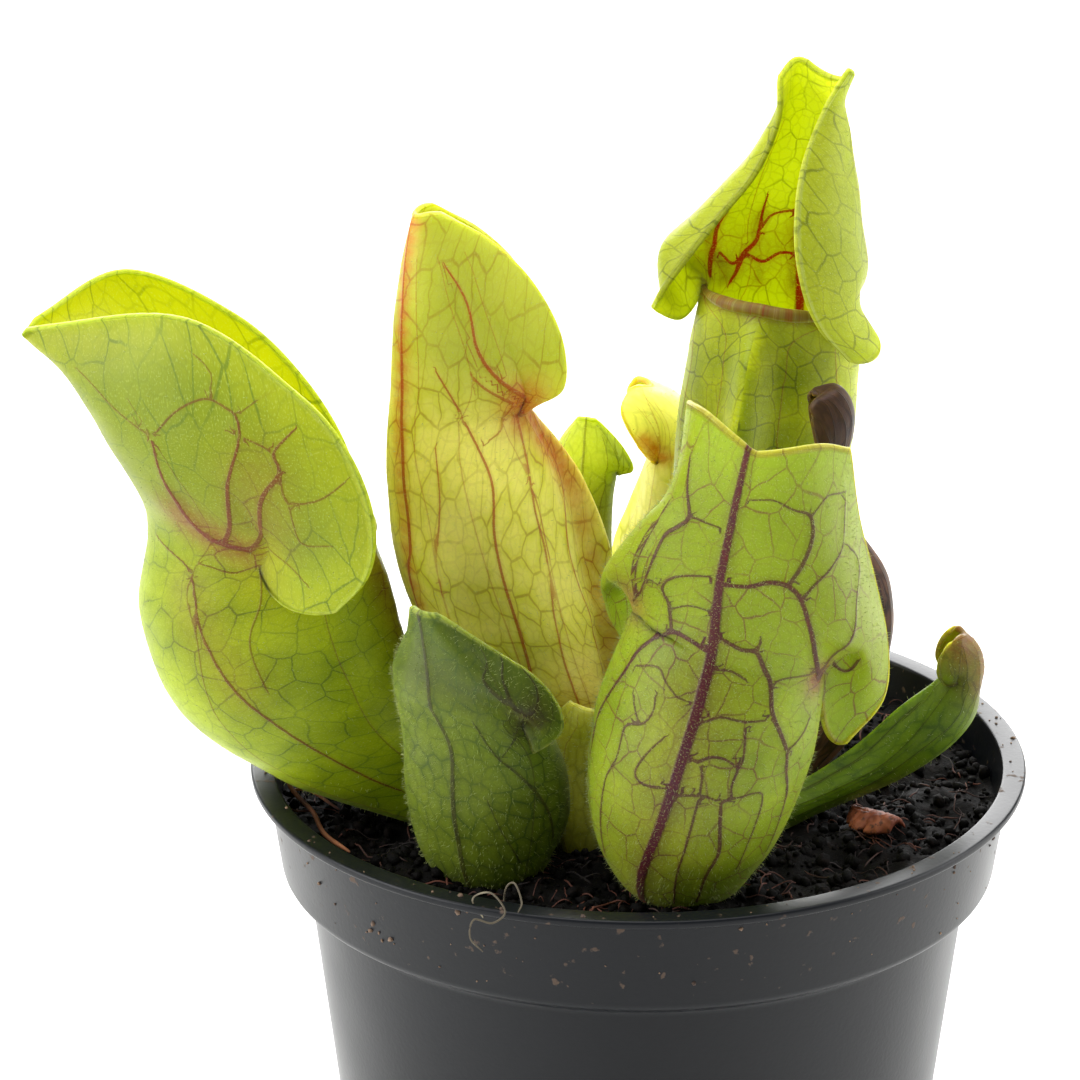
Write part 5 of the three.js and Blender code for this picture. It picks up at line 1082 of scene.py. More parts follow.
def grow_pitcher(name, leaf, look, seed):
    """Both skins, rolled edge and closed ends of a pitcher as one mesh. Gives back its outer skin."""
    points, v, tube, hood, fresh = leaf_sheet(leaf, 1)
    points, plain = placed(leaf, points), placed(leaf, leaf_sheet(leaf, 0)[0])
    quads = np.concatenate([cells(tube, closed=True), cells(hood)])
    flat = flat_places(leaf, points[tube], points[hood], fresh)
    loop, inside, share = edge_loop(leaf, tube, hood)
    normals = point_normals(points, quads)
    fields = leaf_fields(leaf, look, points, normals, v, loop, seed)
    off_vein = fields["gap"] / (fields["half_width"] + VEIN_FLANK)
    relief = VEIN_RELIEF * fields["tone"] * np.exp(-(off_vein**2))
    hills = lumps(flat[:, 0], flat[:, 1], LUMP_SIZE, seed)
    relief += LUMP_RELIEF * hills * np.clip(fields["rim"] / LUMP_MARGIN, 0, 1)
    outer = points + normals * (HALF_THICKNESS + relief)[:, None]
    inner = plain - point_normals(plain, quads) * (HALF_THICKNESS - relief)[:, None]
    count = len(points)
    first = min(round(leaf["hollow"] * FINE[leaf["kind"]]["rows"]), tube.shape[0] - 2)
    inner_tube = tube[first:]
    inner_quads = np.concatenate([cells(inner_tube, closed=True), cells(hood)])[:, ::-1] + count
    roll = rolled_edge(leaf, outer, inner[loop], points, loop, inside, share)
    roll_numbers = 2 * count + np.arange(roll.shape[0] * EDGE_STEPS).reshape(roll.shape[:2])
    edge = np.concatenate([loop[:, None], roll_numbers, loop[:, None] + count], 1)
    edge = np.concatenate([edge, edge[:1]])
    caps = np.stack([outer[tube[0]].mean(0), inner[tube[first]].mean(0)])
    cap_numbers = roll_numbers.max() + 1 + np.arange(2)
    all_points = np.concatenate([outer, inner, roll.reshape(-1, 3), caps])
    quads_all = np.concatenate([quads, inner_quads, cells(edge)[:, ::-1]])
    fans = np.concatenate([fan(cap_numbers[0], tube[0])[:, ::-1], fan(cap_numbers[1], tube[first] + count)])
    every_corner = np.concatenate([quads_all.ravel(), fans.ravel()])
    used, renumbered = np.unique(every_corner, return_inverse=True)
    faces = [renumbered[:quads_all.size].reshape(-1, 4), renumbered[quads_all.size:].reshape(-1, 3)]

    def at_used(numbers):
        """Numbers of the sheet's points as those of the used points of both skins, the edge and the caps."""
        at_edge, at_caps = np.repeat(numbers[loop], EDGE_STEPS, 0), numbers[tube[[0, first], 0]]
        return np.concatenate([numbers, numbers, at_edge, at_caps])[used]

    corner_flat = at_used(flat)[renumbered]
    half_round = corner_flat[:faces[0].size].reshape(-1, 4, 2)
    split = np.abs(half_round[..., 0].max(1) - half_round[..., 0].min(1)) > WRAP_WIDTH
    half_round[split, :, 0] = -np.abs(half_round[split, :, 0])
    spread = {key: at_used(numbers) for key, numbers in fields.items()}
    over_edge = np.tile(np.linspace(0, 1, EDGE_STEPS), len(loop))
    spread["inside"] = np.concatenate([np.zeros(count), np.ones(count), over_edge, [0, 1]])[used]
    blade = leaf_blade(name + "_waxy_leaf", look)
    piece = make_piece(name + "_leaf", all_points[used], faces, blade, corner_flat, spread)
    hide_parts(name)
    return outer, quads


grown = {}
for seed, (name, leaf) in enumerate(PITCHERS.items(), start=1):
    leaf = {**USUAL, **leaf}
    look = {**LOOKS[name], "drawn": DRAWN_VEINS.get(name, [])}
    grown[name] = grow_pitcher(name, leaf, look, seed)

# %% [markdown]
# ## Down
# These leaves carry pale hairs, 0.3 to 0.7 mm long, most of them on the two front leaves. Each hair is a
# three-sided spike on a random spot of the outer skin, leaning a little from the surface's normal. All the
# hairs of a leaf are one mesh, made at once from arrays.

# %% Hairs on the leaves
HAIR_LENGTH = 0.6
HAIR_RADIUS = 0.026
HAIR_LEAN = 0.35


def down_finish():
    """Dry plant hair: pale and matt, so it catches the light as a fine bloom."""
    material, tree = new_material("downy_plant_hair")
    place = add_node(tree, "TexCoord", out="Object")
    tuft = add_node(tree, "TexNoise", {"Vector": place, "Scale": 300.0, "Detail": 1.0})
    tint = layered(tree, linear("#76823c"), [(tuft, "#bcc682")])
    shader = add_node(tree, "BsdfPrincipled", {"Base Color": tint, "Roughness": 0.7})
    add_node(tree, "OutputMaterial", {"Surface": shader})
    return material


def frame_about(direction):
    """Two unit vectors square to each direction and to each other."""
    helper = np.where(np.abs(direction[:, 2:]) < 0.9, [[0, 0, 1.0]], [[1.0, 0, 0]])
    side = unit(np.cross(helper, direction))
    return side, np.cross(direction, side)


def hairs(name, skin, count, seed):
    """Closed three-sided spikes on random spots of a leaf's outer skin, equally dense all over it."""
    rng = np.random.default_rng(seed)
    outer, quads = skin
    corners = outer[quads]
    normal = np.cross(corners[:, 2] - corners[:, 0], corners[:, 3] - corners[:, 1])
    area = np.linalg.norm(normal, axis=1)
    chosen = rng.choice(len(area), count, p=area / area.sum())
    a, b = rng.random((2, count, 1))
    first, second, third, fourth = corners[chosen].transpose(1, 0, 2)
    root = (first * (1 - a) + second * a) * (1 - b) + (fourth * (1 - a) + third * a) * b
    direction = unit(normal[chosen] / area[chosen, None] + rng.normal(0, HAIR_LEAN, (count, 3)))
    side, other = frame_about(direction)
    base = [root + HAIR_RADIUS * (np.cos(t) * side + np.sin(t) * other) for t in np.radians([0, 120, 240])]
    tip = root + direction * HAIR_LENGTH * rng.uniform(0.5, 1.2, (count, 1))
    points = np.stack([*base, tip], 1).reshape(-1, 3)
    start = np.arange(count)[:, None] * 4
    faces = [start + np.array(sides) for sides in ([0, 1, 3], [1, 2, 3], [2, 0, 3], [0, 2, 1])]
    piece = make_piece(name + "_down", points, faces, down_material)


down_material = down_finish()
for seed, name in enumerate(PITCHERS, start=50):
    if LOOKS[name]["hairs"]:
        hairs(name, grown[name], LOOKS[name]["hairs"], seed)

# %% [markdown]
# ## The pot
# The pot is blow-moulded in one piece from dark grey plastic, so every edge of it is rounded. It is turned
# here from the profile of its wall, with a small arc in place of each corner, and then six drain holes are
# cut in the raised ring of its floor. Fine specks of dried soil lie on its rim and band.

# %% Pot
POT_STEPS = 240
POT_HEIGHT, RIM_RADIUS, RIM_THICKNESS = 78, 45, 1
BAND_TOP, BAND_FOOT, BAND_HEIGHT = 43.2, 41.5, 12.5
BODY_TOP, BASE_RADIUS, WALL, FLOOR = 38.5, 30.6, 0.9, 1.2
DISC_RADIUS, FOOT_INNER, RING_RISE = 12, 21, 1.5
DRAIN_HOLES, DRAIN_RADIUS = 6, 2.8
DRILL_FROM, DRILL_TO = -1, 5
DUST_FROM, DUST_FULL = 62, 69
SLOPE_FOOT = POT_HEIGHT - BAND_HEIGHT
SLOPE_RISE = (BAND_FOOT - BODY_TOP) / 2


def rounded(profile, steps=5):
    """A profile with its corners rounded: each becomes a quadratic Bezier arc between points near it."""
    corners = np.array([row[:2] for row in profile], float)
    radii = np.array([row[2] for row in profile])[1:-1, None]
    before, at, after = corners[:-2], corners[1:-1], corners[2:]
    start, end = at + radii * unit(before - at), at + radii * unit(after - at)
    s = np.linspace(0, 1, steps)[:, None, None]
    arcs = (1 - s) ** 2 * start + 2 * (1 - s) * s * at + s**2 * end
    return np.concatenate([corners[:1], arcs.transpose(1, 0, 2).reshape(-1, 2), corners[-1:]])


def turned(profile, steps):
    """A profile of radius and height turned round the z axis, with both of its ends on the axis."""
    angle = np.linspace(0, 2 * np.pi, steps, endpoint=False)
    radius, height = profile[1:-1, :1], profile[1:-1, 1:]
    ring = np.stack([radius * np.cos(angle), radius * np.sin(angle), height + 0 * angle], -1)
    numbers = 1 + np.arange(ring.shape[0] * steps).reshape(ring.shape[:2])
    last = numbers.max() + 1
    ends = np.array([[0, 0, profile[0, 1]], [0, 0, profile[-1, 1]]])
    points = np.concatenate([ends[:1], ring.reshape(-1, 3), ends[1:]])
    return points, [cells(numbers, closed=True), fan(0, numbers[0])[:, ::-1], fan(last, numbers[-1])]


def moulded_plastic():
    """Blow-moulded polypropylene: dark grey and satin, with fine dry dust on its rim and band."""
    material, tree = new_material("moulded_grey_polypropylene")
    place = add_node(tree, "TexCoord", out="Object")
    cloud = add_node(tree, "TexNoise", {"Vector": place, "Scale": 45.0, "Detail": 4.0})
    skin = add_node(tree, "TexNoise", {"Vector": place, "Scale": 1800.0, "Detail": 2.0})
    specks = add_node(tree, "TexNoise", {"Vector": place, "Scale": 620.0, "Detail": 3.0})
    height = add_node(tree, "SeparateXYZ", {0: place}, "Z")
    up = add_node(tree, "MapRange", {
        "Value": height, "From Min": DUST_FROM * MM, "From Max": DUST_FULL * MM,
        "To Min": -0.2, "To Max": 0.03,
    })
    specks = add_node(tree, "Math", {0: specks, 1: up}, operation="ADD")
    dust = add_node(tree, "MapRange", {"Value": specks, "From Min": 0.68, "From Max": 0.74, "To Max": 0.7})
    colour = layered(tree, linear("#080a0e"), [(cloud, "#0d1015"), (dust, "#5a4a3e")])
    gloss = add_node(tree, "MapRange", {"Value": cloud, "To Min": 0.26, "To Max": 0.44})
    gloss = add_node(tree, "Math", {0: dust, 1: 0.5, 2: gloss}, operation="MULTIPLY_ADD")
    relief = add_node(tree, "Math", {0: dust, 1: 2.0, 2: skin}, operation="MULTIPLY_ADD")
    bump = add_node(tree, "Bump", {"Height": relief, "Distance": 0.03 * MM, "Strength": 0.5})
    shader = add_node(tree, "BsdfPrincipled", {
        "Base Color": colour, "Roughness": gloss, "Normal": bump, "Specular IOR Level": 0.2,
    })
    add_node(tree, "OutputMaterial", {"Surface": shader})
    return material


pot_profile = rounded([
    (0, 0, 0), (DISC_RADIUS, 0, 0.5), (DISC_RADIUS + RING_RISE, RING_RISE, 0.4),
    (FOOT_INNER - RING_RISE, RING_RISE, 0.4), (FOOT_INNER, 0, 0.5), (BASE_RADIUS - 0.6, 0, 0.6),
    (BASE_RADIUS + 0.1, 1, 0.6), (BODY_TOP, SLOPE_FOOT - SLOPE_RISE, 0.8), (BAND_FOOT, SLOPE_FOOT, 0.8),
    (BAND_TOP, POT_HEIGHT - RIM_THICKNESS, 0.15), (RIM_RADIUS, POT_HEIGHT - RIM_THICKNESS, 0.4),
    (RIM_RADIUS, POT_HEIGHT, 0.4), (BAND_TOP - WALL, POT_HEIGHT, 0.35),
    (BAND_FOOT - WALL, SLOPE_FOOT + WALL / 2, 0.6),
    (BODY_TOP - WALL, SLOPE_FOOT - SLOPE_RISE + WALL / 2, 0.6),
    (BASE_RADIUS - WALL, FLOOR, 0.5), (FOOT_INNER, FLOOR, 0.4),
    (FOOT_INNER - RING_RISE, RING_RISE + FLOOR, 0.4), (DISC_RADIUS + RING_RISE, RING_RISE + FLOOR, 0.4),
    (DISC_RADIUS, FLOOR, 0.4), (0, FLOOR, 0),
])
pot_points, pot_faces = turned(pot_profile, POT_STEPS)
pot = make_piece("nursery_pot", pot_points, pot_faces, moulded_plastic())
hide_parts("pot")


def drilled(piece, places, radius, low, high, sides=32):
    """The piece with upright round holes cut at the places, as its new mesh."""
    angle = np.linspace(0, 2 * np.pi, sides, endpoint=False)
    ring = radius * np.stack([np.cos(angle), np.sin(angle)], -1)
    both = places[:, None, None] + ring
    levels = np.broadcast_to(np.array([low, high])[:, None, None], (len(places), 2, sides, 1))
    points = np.concatenate([np.broadcast_to(both, (len(places), 2, sides, 2)), levels], -1)
    first = np.arange(len(places)) * 2 * sides
    around = np.arange(sides)
    walls = np.stack([around, np.roll(around, -1), np.roll(around, -1) + sides, around + sides], -1)
    ends = np.stack([around[::-1], around + sides])
    faces = [row.tolist() for k in first for row in [*(walls + k), *(ends + k)]]
    mesh = bpy.data.meshes.new("drill")
    mesh.from_pydata((points.reshape(-1, 3) * MM).tolist(), [], faces)
    drill = bpy.data.objects.new("drill", mesh)
    bpy.context.scene.collection.objects.link(drill)
    cut = piece.modifiers.new("drain_holes", "BOOLEAN")
    cut.operation, cut.object, cut.solver = "DIFFERENCE", drill, "EXACT"
    graph = bpy.context.evaluated_depsgraph_get()
    whole = bpy.data.meshes.new_from_object(piece.evaluated_get(graph))
    piece.modifiers.clear()
    piece.data = whole
    bpy.data.objects.remove(drill)


hole_angle = 2 * np.pi * (np.arange(DRAIN_HOLES) + 0.5) / DRAIN_HOLES
hole_places = (DISC_RADIUS + FOOT_INNER) / 2 * np.stack([np.cos(hole_angle), np.sin(hole_angle)], -1)
drilled(pot, hole_places, DRAIN_RADIUS, DRILL_FROM, DRILL_TO)
print("pot with drain holes:", len(pot.data.polygons), "faces")

# %% [markdown]
# ## Peat
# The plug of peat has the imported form, with finer lumps on its top. Over it lie some four thousand crumbs,
# each a ball of twenty faces pushed out of shape. Real peat is crumbs of every size, and these are the ones
# large enough to see.

# %% Peat
PEAT_LEVEL, PEAT_BUMP, GAP = 73, 0.5, 0.3
PEAT_LUMPS = [(0.45, 3.5, 7), (0.3, 1.2, 8)]
LUMPS_SHIFT = 60
CRUMBS, CRUMB_SMALLEST, CRUMB_RANGE = 4200, 0.28, 0.75
CRUMB_STRETCH, CRUMB_PUSH = (0.55, 1.2), (0.75, 1.2)
BLUNT = 0.97


def peat_height(x, y):
    """Height of the peat's top: three crossing waves, then lumps 3.5 mm and 1.2 mm wide."""
    wave = np.sin(0.55 * x + 1.3) * np.cos(0.48 * y - 0.4)
    cross = np.sin(0.31 * x - 0.37 * y + 2.1)
    fine = np.sin(1.05 * x + 0.9 * y) * np.cos(0.95 * x - 1.1 * y + 0.7)
    height = PEAT_LEVEL + PEAT_BUMP * (wave + 0.7 * cross + 0.6 * fine)
    for lift, size, seed in PEAT_LUMPS:
        height = height + lift * lumps(x + LUMPS_SHIFT, y + LUMPS_SHIFT, size, seed)
    return height


def peat_finish():
    """Damp peat: almost black, matt, with brown crumbs and a fine wet gleam."""
    material, tree = new_material("damp_peat")
    place = add_node(tree, "TexCoord", out="Object")
    crumbs = add_node(tree, "TexNoise", {"Vector": place, "Scale": 700.0, "Detail": 5.0, "Roughness": 0.7})
    clods = add_node(tree, "TexNoise", {"Vector": place, "Scale": 140.0, "Detail": 3.0})
    brown = add_node(tree, "MapRange", {"Value": crumbs, "From Min": 0.52, "From Max": 0.66})
    colour = layered(tree, linear("#040302"), [(brown, "#110906")])
    pale = add_node(tree, "MapRange", {"Value": clods, "From Min": 0.55, "From Max": 0.75, "To Max": 0.5})
    colour = layered(tree, colour, [(pale, "#0a0604")])
    gloss = add_node(tree, "MapRange", {"Value": clods, "To Min": 0.95, "To Max": 0.55})
    bump = add_node(tree, "Bump", {"Height": crumbs, "Distance": 0.5 * MM, "Strength": 0.9})
    shader = add_node(tree, "BsdfPrincipled", {
        "Base Color": colour, "Roughness": gloss, "Normal": bump, "Specular IOR Level": 0.12,
    })
    add_node(tree, "OutputMaterial", {"Surface": shader})
    return material


def peat_plug(rings=84, steps=256):
    """Rings of the bumpy top from the middle outwards, then the plug's side and its flat underside."""
    share = (PEAT_LEVEL - SLOPE_FOOT) / (BAND_HEIGHT - RIM_THICKNESS)
    edge = BAND_FOOT + (BAND_TOP - BAND_FOOT) * share - WALL - 0.05
    angle = np.linspace(0, 2 * np.pi, steps, endpoint=False)
    radius = edge * np.arange(1, rings + 1)[:, None] / rings
    x, y = radius * np.cos(angle), radius * np.sin(angle)
    side = [
        (BAND_FOOT - WALL - GAP, SLOPE_FOOT + WALL / 2 + GAP),
        (BODY_TOP - WALL - GAP, SLOPE_FOOT - SLOPE_RISE + WALL / 2),
        (BASE_RADIUS - WALL - GAP, RING_RISE + FLOOR + GAP),
    ]
    below = [np.stack([r * np.cos(angle), r * np.sin(angle), 0 * angle + z], -1) for r, z in side]
    grid = np.concatenate([np.stack([x, y, peat_height(x, y)], -1), np.stack(below)])
    numbers = 1 + np.arange(grid.shape[0] * steps).reshape(grid.shape[:2])
    middles = np.array([[0, 0, peat_height(0, 0)], [0, 0, side[-1][1]]])
    points = np.concatenate([middles[:1], grid.reshape(-1, 3), middles[1:]])
    underside = fan(len(points) - 1, numbers[-1])[:, ::-1]
    return points, [cells(numbers, closed=True)[:, ::-1], fan(0, numbers[0]), underside], edge


def icosahedron():
    """The 12 corners and 20 faces of an icosahedron with a radius of 1."""
    golden = (1 + 5**0.5) / 2
    corners = np.array([
        (-1, golden, 0), (1, golden, 0), (-1, -golden, 0), (1, -golden, 0), (0, -1, golden), (0, 1, golden),
        (0, -1, -golden), (0, 1, -golden), (golden, 0, -1), (golden, 0, 1), (-golden, 0, -1), (-golden, 0, 1),
    ])
    faces = np.array([
        (0, 11, 5), (0, 5, 1), (0, 1, 7), (0, 7, 10), (0, 10, 11), (1, 5, 9), (5, 11, 4), (11, 10, 2),
        (10, 7, 6), (7, 1, 8), (3, 9, 4), (3, 4, 2), (3, 2, 6), (3, 6, 8), (3, 8, 9), (4, 9, 5), (2, 4, 11),
        (6, 2, 10), (8, 6, 7), (9, 8, 1),
    ])
    return corners / np.linalg.norm(corners[0]), faces


def scattered_balls(centres, sizes, rng):
    """A rough 20-faced ball at each centre: stretched by random amounts and with each corner pushed about."""
    corners, faces = icosahedron()
    count = len(centres)
    stretch = rng.uniform(*CRUMB_STRETCH, (count, 1, 3))
    push = rng.uniform(*CRUMB_PUSH, (count, len(corners), 1))
    spin = np.linalg.qr(rng.normal(size=(count, 3, 3)))[0]
    spin *= np.sign(np.linalg.det(spin))[:, None, None]
    points = (corners * push * stretch) @ spin * sizes[:, None, None] + centres[:, None]
    all_faces = faces + np.arange(count)[:, None, None] * len(corners)
    return points.reshape(-1, 3), [all_faces.reshape(-1, 3)]


def threads(paths, radius, sides=4):
    """Closed thin tubes along lines of points, each with its own radius and blunt ends."""
    count, steps, _ = paths.shape
    side, other = frame_about(unit(np.gradient(paths, axis=1)).reshape(-1, 3))
    side, other = side.reshape(paths.shape), other.reshape(paths.shape)
    angle = 2 * np.pi * np.arange(sides) / sides
    taper = np.sqrt(1 - np.linspace(-BLUNT, BLUNT, steps) ** 6)[:, None, None]
    turn = np.cos(angle)[:, None] * side[:, :, None] + np.sin(angle)[:, None] * other[:, :, None]
    ring = paths[:, :, None] + radius[:, None, None, None] * taper * turn
    numbers = np.arange(steps * sides).reshape(steps, sides)
    start = np.arange(count)[:, None, None] * steps * sides
    walls = (cells(numbers, closed=True) + start).reshape(-1, 4)
    ends = (np.concatenate([numbers[:1, ::-1], numbers[-1:]]) + start).reshape(-1, sides)
    return ring.reshape(-1, 3), [walls, ends]


def joined(parts):
    """Several sets of points and faces as one."""
    points = np.concatenate([p for p, _ in parts])
    first = np.cumsum([0] + [len(p) for p, _ in parts[:-1]])
    return points, [f + start for (_, faces), start in zip(parts, first) for f in faces]


peat_material = peat_finish()
plug_points, plug_faces, peat_edge = peat_plug()
peat = make_piece("potting_peat", plug_points, plug_faces, peat_material)
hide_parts("peat")

rng = np.random.default_rng(11)
spread = peat_edge * np.sqrt(rng.random(CRUMBS)) * 0.99
bearing = rng.uniform(0, 2 * np.pi, CRUMBS)
sizes = CRUMB_SMALLEST + CRUMB_RANGE * rng.random(CRUMBS) ** 3
x, y = spread * np.cos(bearing), spread * np.sin(bearing)
centres = np.stack([x, y, peat_height(x, y) + 0.3 * sizes], -1)
crumbs = make_piece("peat_crumbs", *scattered_balls(centres, sizes, rng), peat_material)

# %% [markdown]
# ## Fibres, roots and splashes
# Dark and red-brown fibres lie in every direction on the peat. One long dry strand comes from under the left
# pitcher, and a few hair-thin roots curl over the pot's rim at the front. Some crumbs have splashed on the
# rim and the band and have dried there.

# %% Fibres, roots and splashes
FIBRES, FIBRE_STEPS, FIBRE_BEND, SPLASHES = 600, 9, 0.28, 150
EDGE_ROOM, SPLASH_RUN, ON_RIM_SHARE = 0.4, 2.5, 0.3
SPLASH_SMALLEST, SPLASH_RANGE = 0.1, 0.3
STRAND = [(-41.5, -1, 77.5), (-40, -5.5, 76.2), (-37.5, -9.5, 75.2), (-36, -13.5, 74.2), (-33, -18, 74)]
BRANCH = [(-40, -5.5, 76.2), (-38, -4, 75.4), (-34.5, -8, 74.8)]
ROOTS = [
    [(-17, -38.6, 74.6), (-18.8, -40.6, 78.6), (-16.8, -42.6, 80.4), (-15.2, -43.6, 78.6),
     (-16.6, -44.4, 77.6), (-18.6, -44.8, 78.2), (-19, -45.6, 76.4), (-17.6, -45.8, 74.8)],
    [(-15.5, -37.6, 74.4), (-15.2, -39.8, 79.4), (-14.2, -41, 80.8), (-13.4, -42.4, 79.2),
     (-13.8, -43.6, 78.5)],
]


def thread_finish(name, dark, pale):
    """Dry plant fibre or soil: matt, with darker and paler stretches."""
    material, tree = new_material(name)
    place = add_node(tree, "TexCoord", out="Object")
    streak = add_node(tree, "TexNoise", {"Vector": place, "Scale": 160.0, "Detail": 2.0})
    share = add_node(tree, "MapRange", {"Value": streak, "From Min": 0.4, "From Max": 0.62})
    colour = layered(tree, linear(dark), [(share, pale)])
    shader = add_node(tree, "BsdfPrincipled", {"Base Color": colour, "Roughness": 0.75})
    add_node(tree, "OutputMaterial", {"Surface": shader})
    return material


def loose_fibres(count, seed):
    """Bent threads on the peat: each starts at a random place, wanders and stays just above the top."""
    rng = np.random.default_rng(seed)
    start = (peat_edge - 2) * np.sqrt(rng.random(count))
    bearing = rng.uniform(0, 2 * np.pi, count)
    length = rng.uniform(1.5, 9, count) * rng.uniform(0.4, 1, count)
    heading = rng.uniform(0, 2 * np.pi, (count, 1))
    heading = heading + np.cumsum(rng.normal(0, FIBRE_BEND, (count, FIBRE_STEPS)), 1)
    step = length[:, None] / FIBRE_STEPS
    x = start[:, None] * np.cos(bearing)[:, None] + np.cumsum(step * np.cos(heading), 1)
    y = start[:, None] * np.sin(bearing)[:, None] + np.cumsum(step * np.sin(heading), 1)
    out = np.maximum(np.hypot(x, y) / (peat_edge - 0.5), 1)
    x, y = x / out, y / out
    lift = 0.35 + 0.6 * rng.random((count, 1)) * np.sin(np.linspace(0, np.pi, FIBRE_STEPS))
    paths = np.stack([x, y, peat_height(x, y) + lift], -1)
    return threads(paths, rng.uniform(0.04, 0.13, count))


def round_thread(places, steps, radius, sides=6):
    """One thread along a smooth line through places in mm."""
    line = spline(np.array(places, float), np.linspace(0, 1, steps))
    return threads(line[None], np.array([radius]), sides)


fibre_material = thread_finish("red_brown_fibre", "#140a07", "#5a2d1b")
fibres = make_piece("peat_fibres", *loose_fibres(FIBRES, 21), fibre_material)

strand = joined([round_thread(STRAND, 40, 0.3), round_thread(BRANCH, 20, 0.2)])
dry = make_piece("dry_strand", *strand, thread_finish("dry_stalk", "#4a2a1c", "#a56a45"))
roots = joined([round_thread(path, 60, 0.11) for path in ROOTS])
root_piece = make_piece("fine_roots", *roots, thread_finish("pale_root", "#4c4434", "#a39a80"))

rng = np.random.default_rng(31)
bearing = rng.uniform(0, 2 * np.pi, SPLASHES)
level = POT_HEIGHT - RIM_THICKNESS - EDGE_ROOM - (BAND_HEIGHT - SPLASH_RUN) * rng.random(SPLASHES) ** 1.6
wall = BAND_FOOT + (BAND_TOP - BAND_FOOT) * (level - SLOPE_FOOT) / (BAND_HEIGHT - RIM_THICKNESS)
on_rim = rng.random(SPLASHES) < ON_RIM_SHARE
radius = np.where(on_rim, rng.uniform(BAND_TOP - EDGE_ROOM, RIM_RADIUS - EDGE_ROOM, SPLASHES), wall)
level = np.where(on_rim, POT_HEIGHT, level)
sizes = SPLASH_SMALLEST + SPLASH_RANGE * rng.random(SPLASHES) ** 2.5
centres = np.stack([radius * np.cos(bearing), radius * np.sin(bearing), level], -1)
soil = thread_finish("dried_soil", "#3a2a20", "#8a7058")
splashes = make_piece("dried_splashes", *scattered_balls(centres, sizes, rng), soil)

# %% [markdown]
# ## The fallen flake and the rhizome
# A curled scrap of a dead leaf lies on the peat at the right. Under the peat is the rhizome, the creeping
# stem that all the pitchers grow from. It can't be seen, so it keeps its packed form and only gets a bark.

# %% Flake and rhizome
FLAKE_SIZE, FLAKE_LIFT, FLAKE_FRAY = (3.6, 2.3), 1.3, 0.22
FLAKE_PLACE, FLAKE_TURN = (27, -11.3, 74.4), -50


def flake_sheet(side, rows=40, columns=30):
    """One skin of a scrap that narrows to both ends and is arched across, with a frayed edge."""
    u = np.linspace(-1, 1, rows)[:, None]
    v = np.linspace(-1, 1, columns)[None]
    fray = 1 + FLAKE_FRAY * lumps(9 * u + 30, 4 * np.sign(v) + 30, 1, 41) * np.abs(v) ** 3
    half = FLAKE_SIZE[1] * (1 - 0.45 * u**2) * fray
    lift = FLAKE_LIFT * (1 - v**2) + 0.5 * u + 0.12 * lumps(8 * u + 20, 6 * v + 20, 1, 42)
    x, y = FLAKE_SIZE[0] * u + 0 * v, half * v
    turn = np.radians(FLAKE_TURN)
    z = lift + side * (HALF_THICKNESS * np.sqrt(1 - (BLUNT * np.abs(v)) ** 4) + 0.02)
    east, north = x * np.cos(turn) - y * np.sin(turn), x * np.sin(turn) + y * np.cos(turn)
    return np.stack([east + FLAKE_PLACE[0], north + FLAKE_PLACE[1], z + FLAKE_PLACE[2]], -1)


def closed_sheet(top, under):
    """Two skins with the same grid, joined round their edge."""
    rows, columns, _ = top.shape
    upper = np.arange(rows * columns).reshape(rows, columns)
    lower = upper + rows * columns
    edge = [np.concatenate([n[0, :-1], n[:-1, -1], n[-1, :0:-1], n[:0:-1, 0]]) for n in (lower, upper)]
    faces = [cells(upper)[:, ::-1], cells(lower), cells(np.stack(edge), closed=True)[:, ::-1]]
    return np.concatenate([top.reshape(-1, 3), under.reshape(-1, 3)]), faces


def dead_leaf_finish():
    """Dead pitcher blade: red-brown, dry and leathery, with dark specks."""
    material, tree = new_material("dry_red_brown_leaf")
    place = add_node(tree, "TexCoord", out="Object")
    cloud = add_node(tree, "TexNoise", {"Vector": place, "Scale": 350.0, "Detail": 4.0})
    speck = add_node(tree, "TexNoise", {"Vector": place, "Scale": 1500.0, "Detail": 2.0})
    dark = add_node(tree, "MapRange", {"Value": speck, "From Min": 0.55, "From Max": 0.65, "To Max": 0.8})
    share = add_node(tree, "MapRange", {"Value": cloud, "From Min": 0.35, "From Max": 0.65})
    colour = layered(tree, linear("#5c281a"), [(share, "#94502f"), (dark, "#2c1410")])
    bump = add_node(tree, "Bump", {"Height": cloud, "Distance": 0.3 * MM, "Strength": 0.7})
    shader = add_node(tree, "BsdfPrincipled", {"Base Color": colour, "Roughness": 0.6, "Normal": bump})
    add_node(tree, "OutputMaterial", {"Surface": shader})
    return material


def bark_finish():
    """Rhizome bark: dull brown, in rings about 1.5 mm apart where old leaves stood."""
    material, tree = new_material("rhizome_bark")
    place = add_node(tree, "TexCoord", out="Object")
    rings = add_node(tree, "TexWave", {"Vector": place, "Scale": 210.0, "Distortion": 4.0, "Detail": 2.0})
    colour = layered(tree, linear("#3a2418"), [(rings, "#6a4630")])
    bump = add_node(tree, "Bump", {"Height": rings, "Distance": 0.3 * MM, "Strength": 0.6})
    shader = add_node(tree, "BsdfPrincipled", {"Base Color": colour, "Roughness": 0.8, "Normal": bump})
    add_node(tree, "OutputMaterial", {"Surface": shader})
    return material


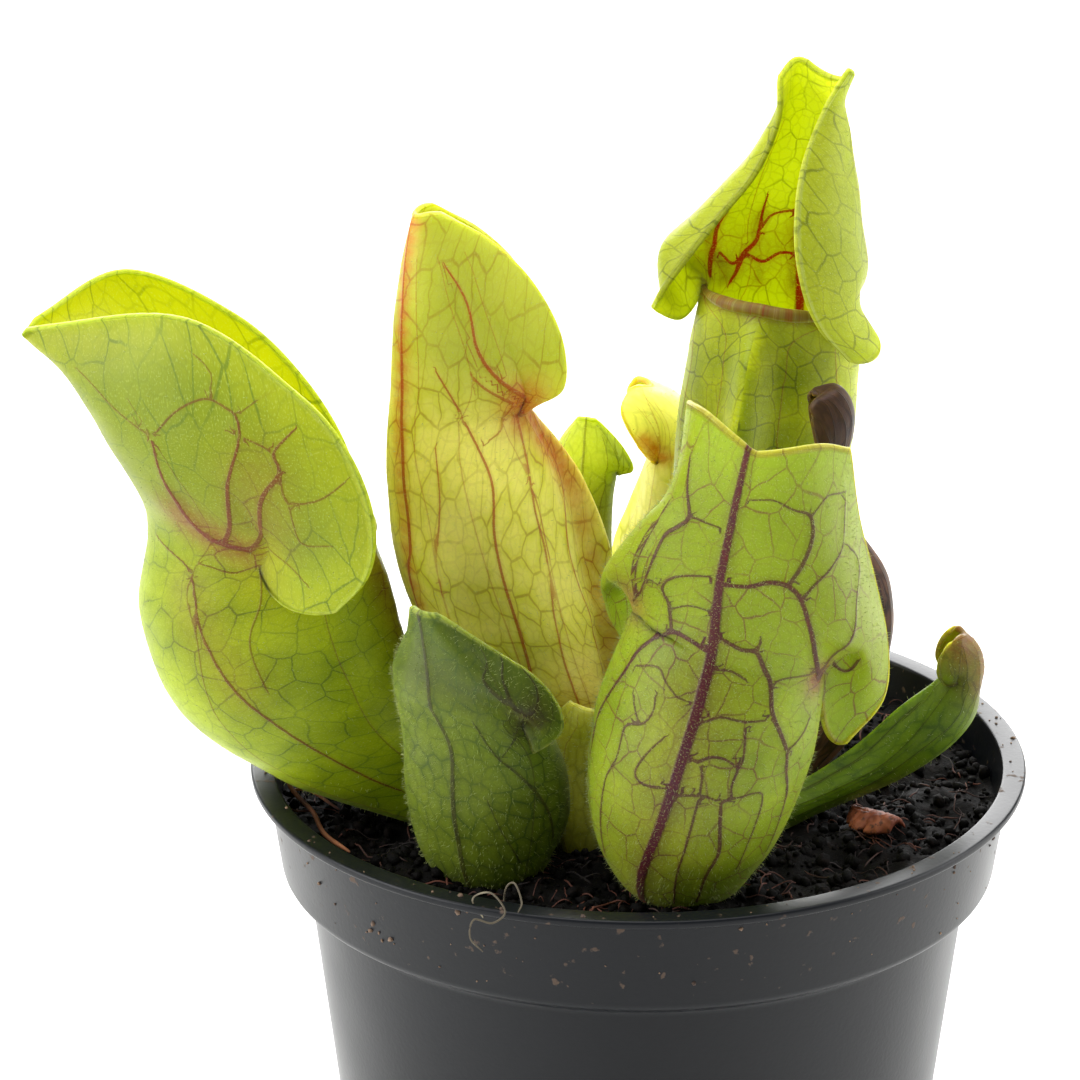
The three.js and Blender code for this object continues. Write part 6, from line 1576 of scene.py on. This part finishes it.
flake = make_piece("fallen_flake", *closed_sheet(flake_sheet(1), flake_sheet(-1)), dead_leaf_finish())
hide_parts("leaf_flake")
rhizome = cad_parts["rhizome"]
rhizome.data.materials.clear()
rhizome.data.materials.append(bark_finish())
print("rhizome keeps its packed form:", len(rhizome.data.polygons), "faces")

# %% [markdown]
# ## Stage
# A plain pale floor and soft light from large panels, as in a small product studio.


# %% Stage
FLOOR_SIZE = 6000.0
AIM = (0, 0, 100)
WORLD_LIGHT = 0.3


def floor_paint():
    """Matt white paint, with a faint unevenness of the roller."""
    material, tree = new_material("matt_white_paint")
    place = add_node(tree, "TexCoord", out="Object")
    grain = add_node(tree, "TexNoise", {"Vector": place, "Scale": 40.0, "Detail": 3.0})
    tint = layered(tree, linear("#f1f1ef"), [(grain, "#f6f6f4")])
    shader = add_node(tree, "BsdfPrincipled", {"Base Color": tint, "Roughness": 0.9})
    add_node(tree, "OutputMaterial", {"Surface": shader})
    return material


half = FLOOR_SIZE / 2 * MM
floor_corners = [(x * half, y * half, 0) for x, y in ((-1, -1), (1, -1), (1, 1), (-1, 1))]
floor_mesh = bpy.data.meshes.new("floor")
floor_mesh.from_pydata(floor_corners, [], [(0, 1, 2, 3)])
floor_mesh.materials.append(floor_paint())
floor = bpy.data.objects.new("floor", floor_mesh)
bpy.context.scene.collection.objects.link(floor)


def panel(name, place, size, power):
    """A soft square light at a place in mm, aimed at the middle of the leaves."""
    data = bpy.data.lights.new(name, "AREA")
    data.size = size * MM
    data.energy = power
    light = bpy.data.objects.new(name, data)
    light.location = [c * MM for c in place]
    aim = np.array(AIM) - np.array(place)
    flat_length = np.hypot(aim[0], aim[1])
    light.rotation_euler = (np.arctan2(flat_length, -aim[2]), 0, np.arctan2(-aim[0], aim[1]))
    bpy.context.scene.collection.objects.link(light)


panel("left_light", (-800, -200, 450), 700, 11)
panel("right_light", (800, 100, 400), 700, 7.5)
panel("top_light", (0, 0, 1000), 900, 9)
panel("back_light", (0, 900, 500), 900, 18)

world = bpy.data.worlds.new("studio")
world.use_nodes = True
background = world.node_tree.nodes["Background"]
background.inputs["Color"].default_value = linear("#ffffff")
background.inputs["Strength"].default_value = WORLD_LIGHT
bpy.context.scene.world = world
bpy.context.scene.view_settings.view_transform = "Standard"
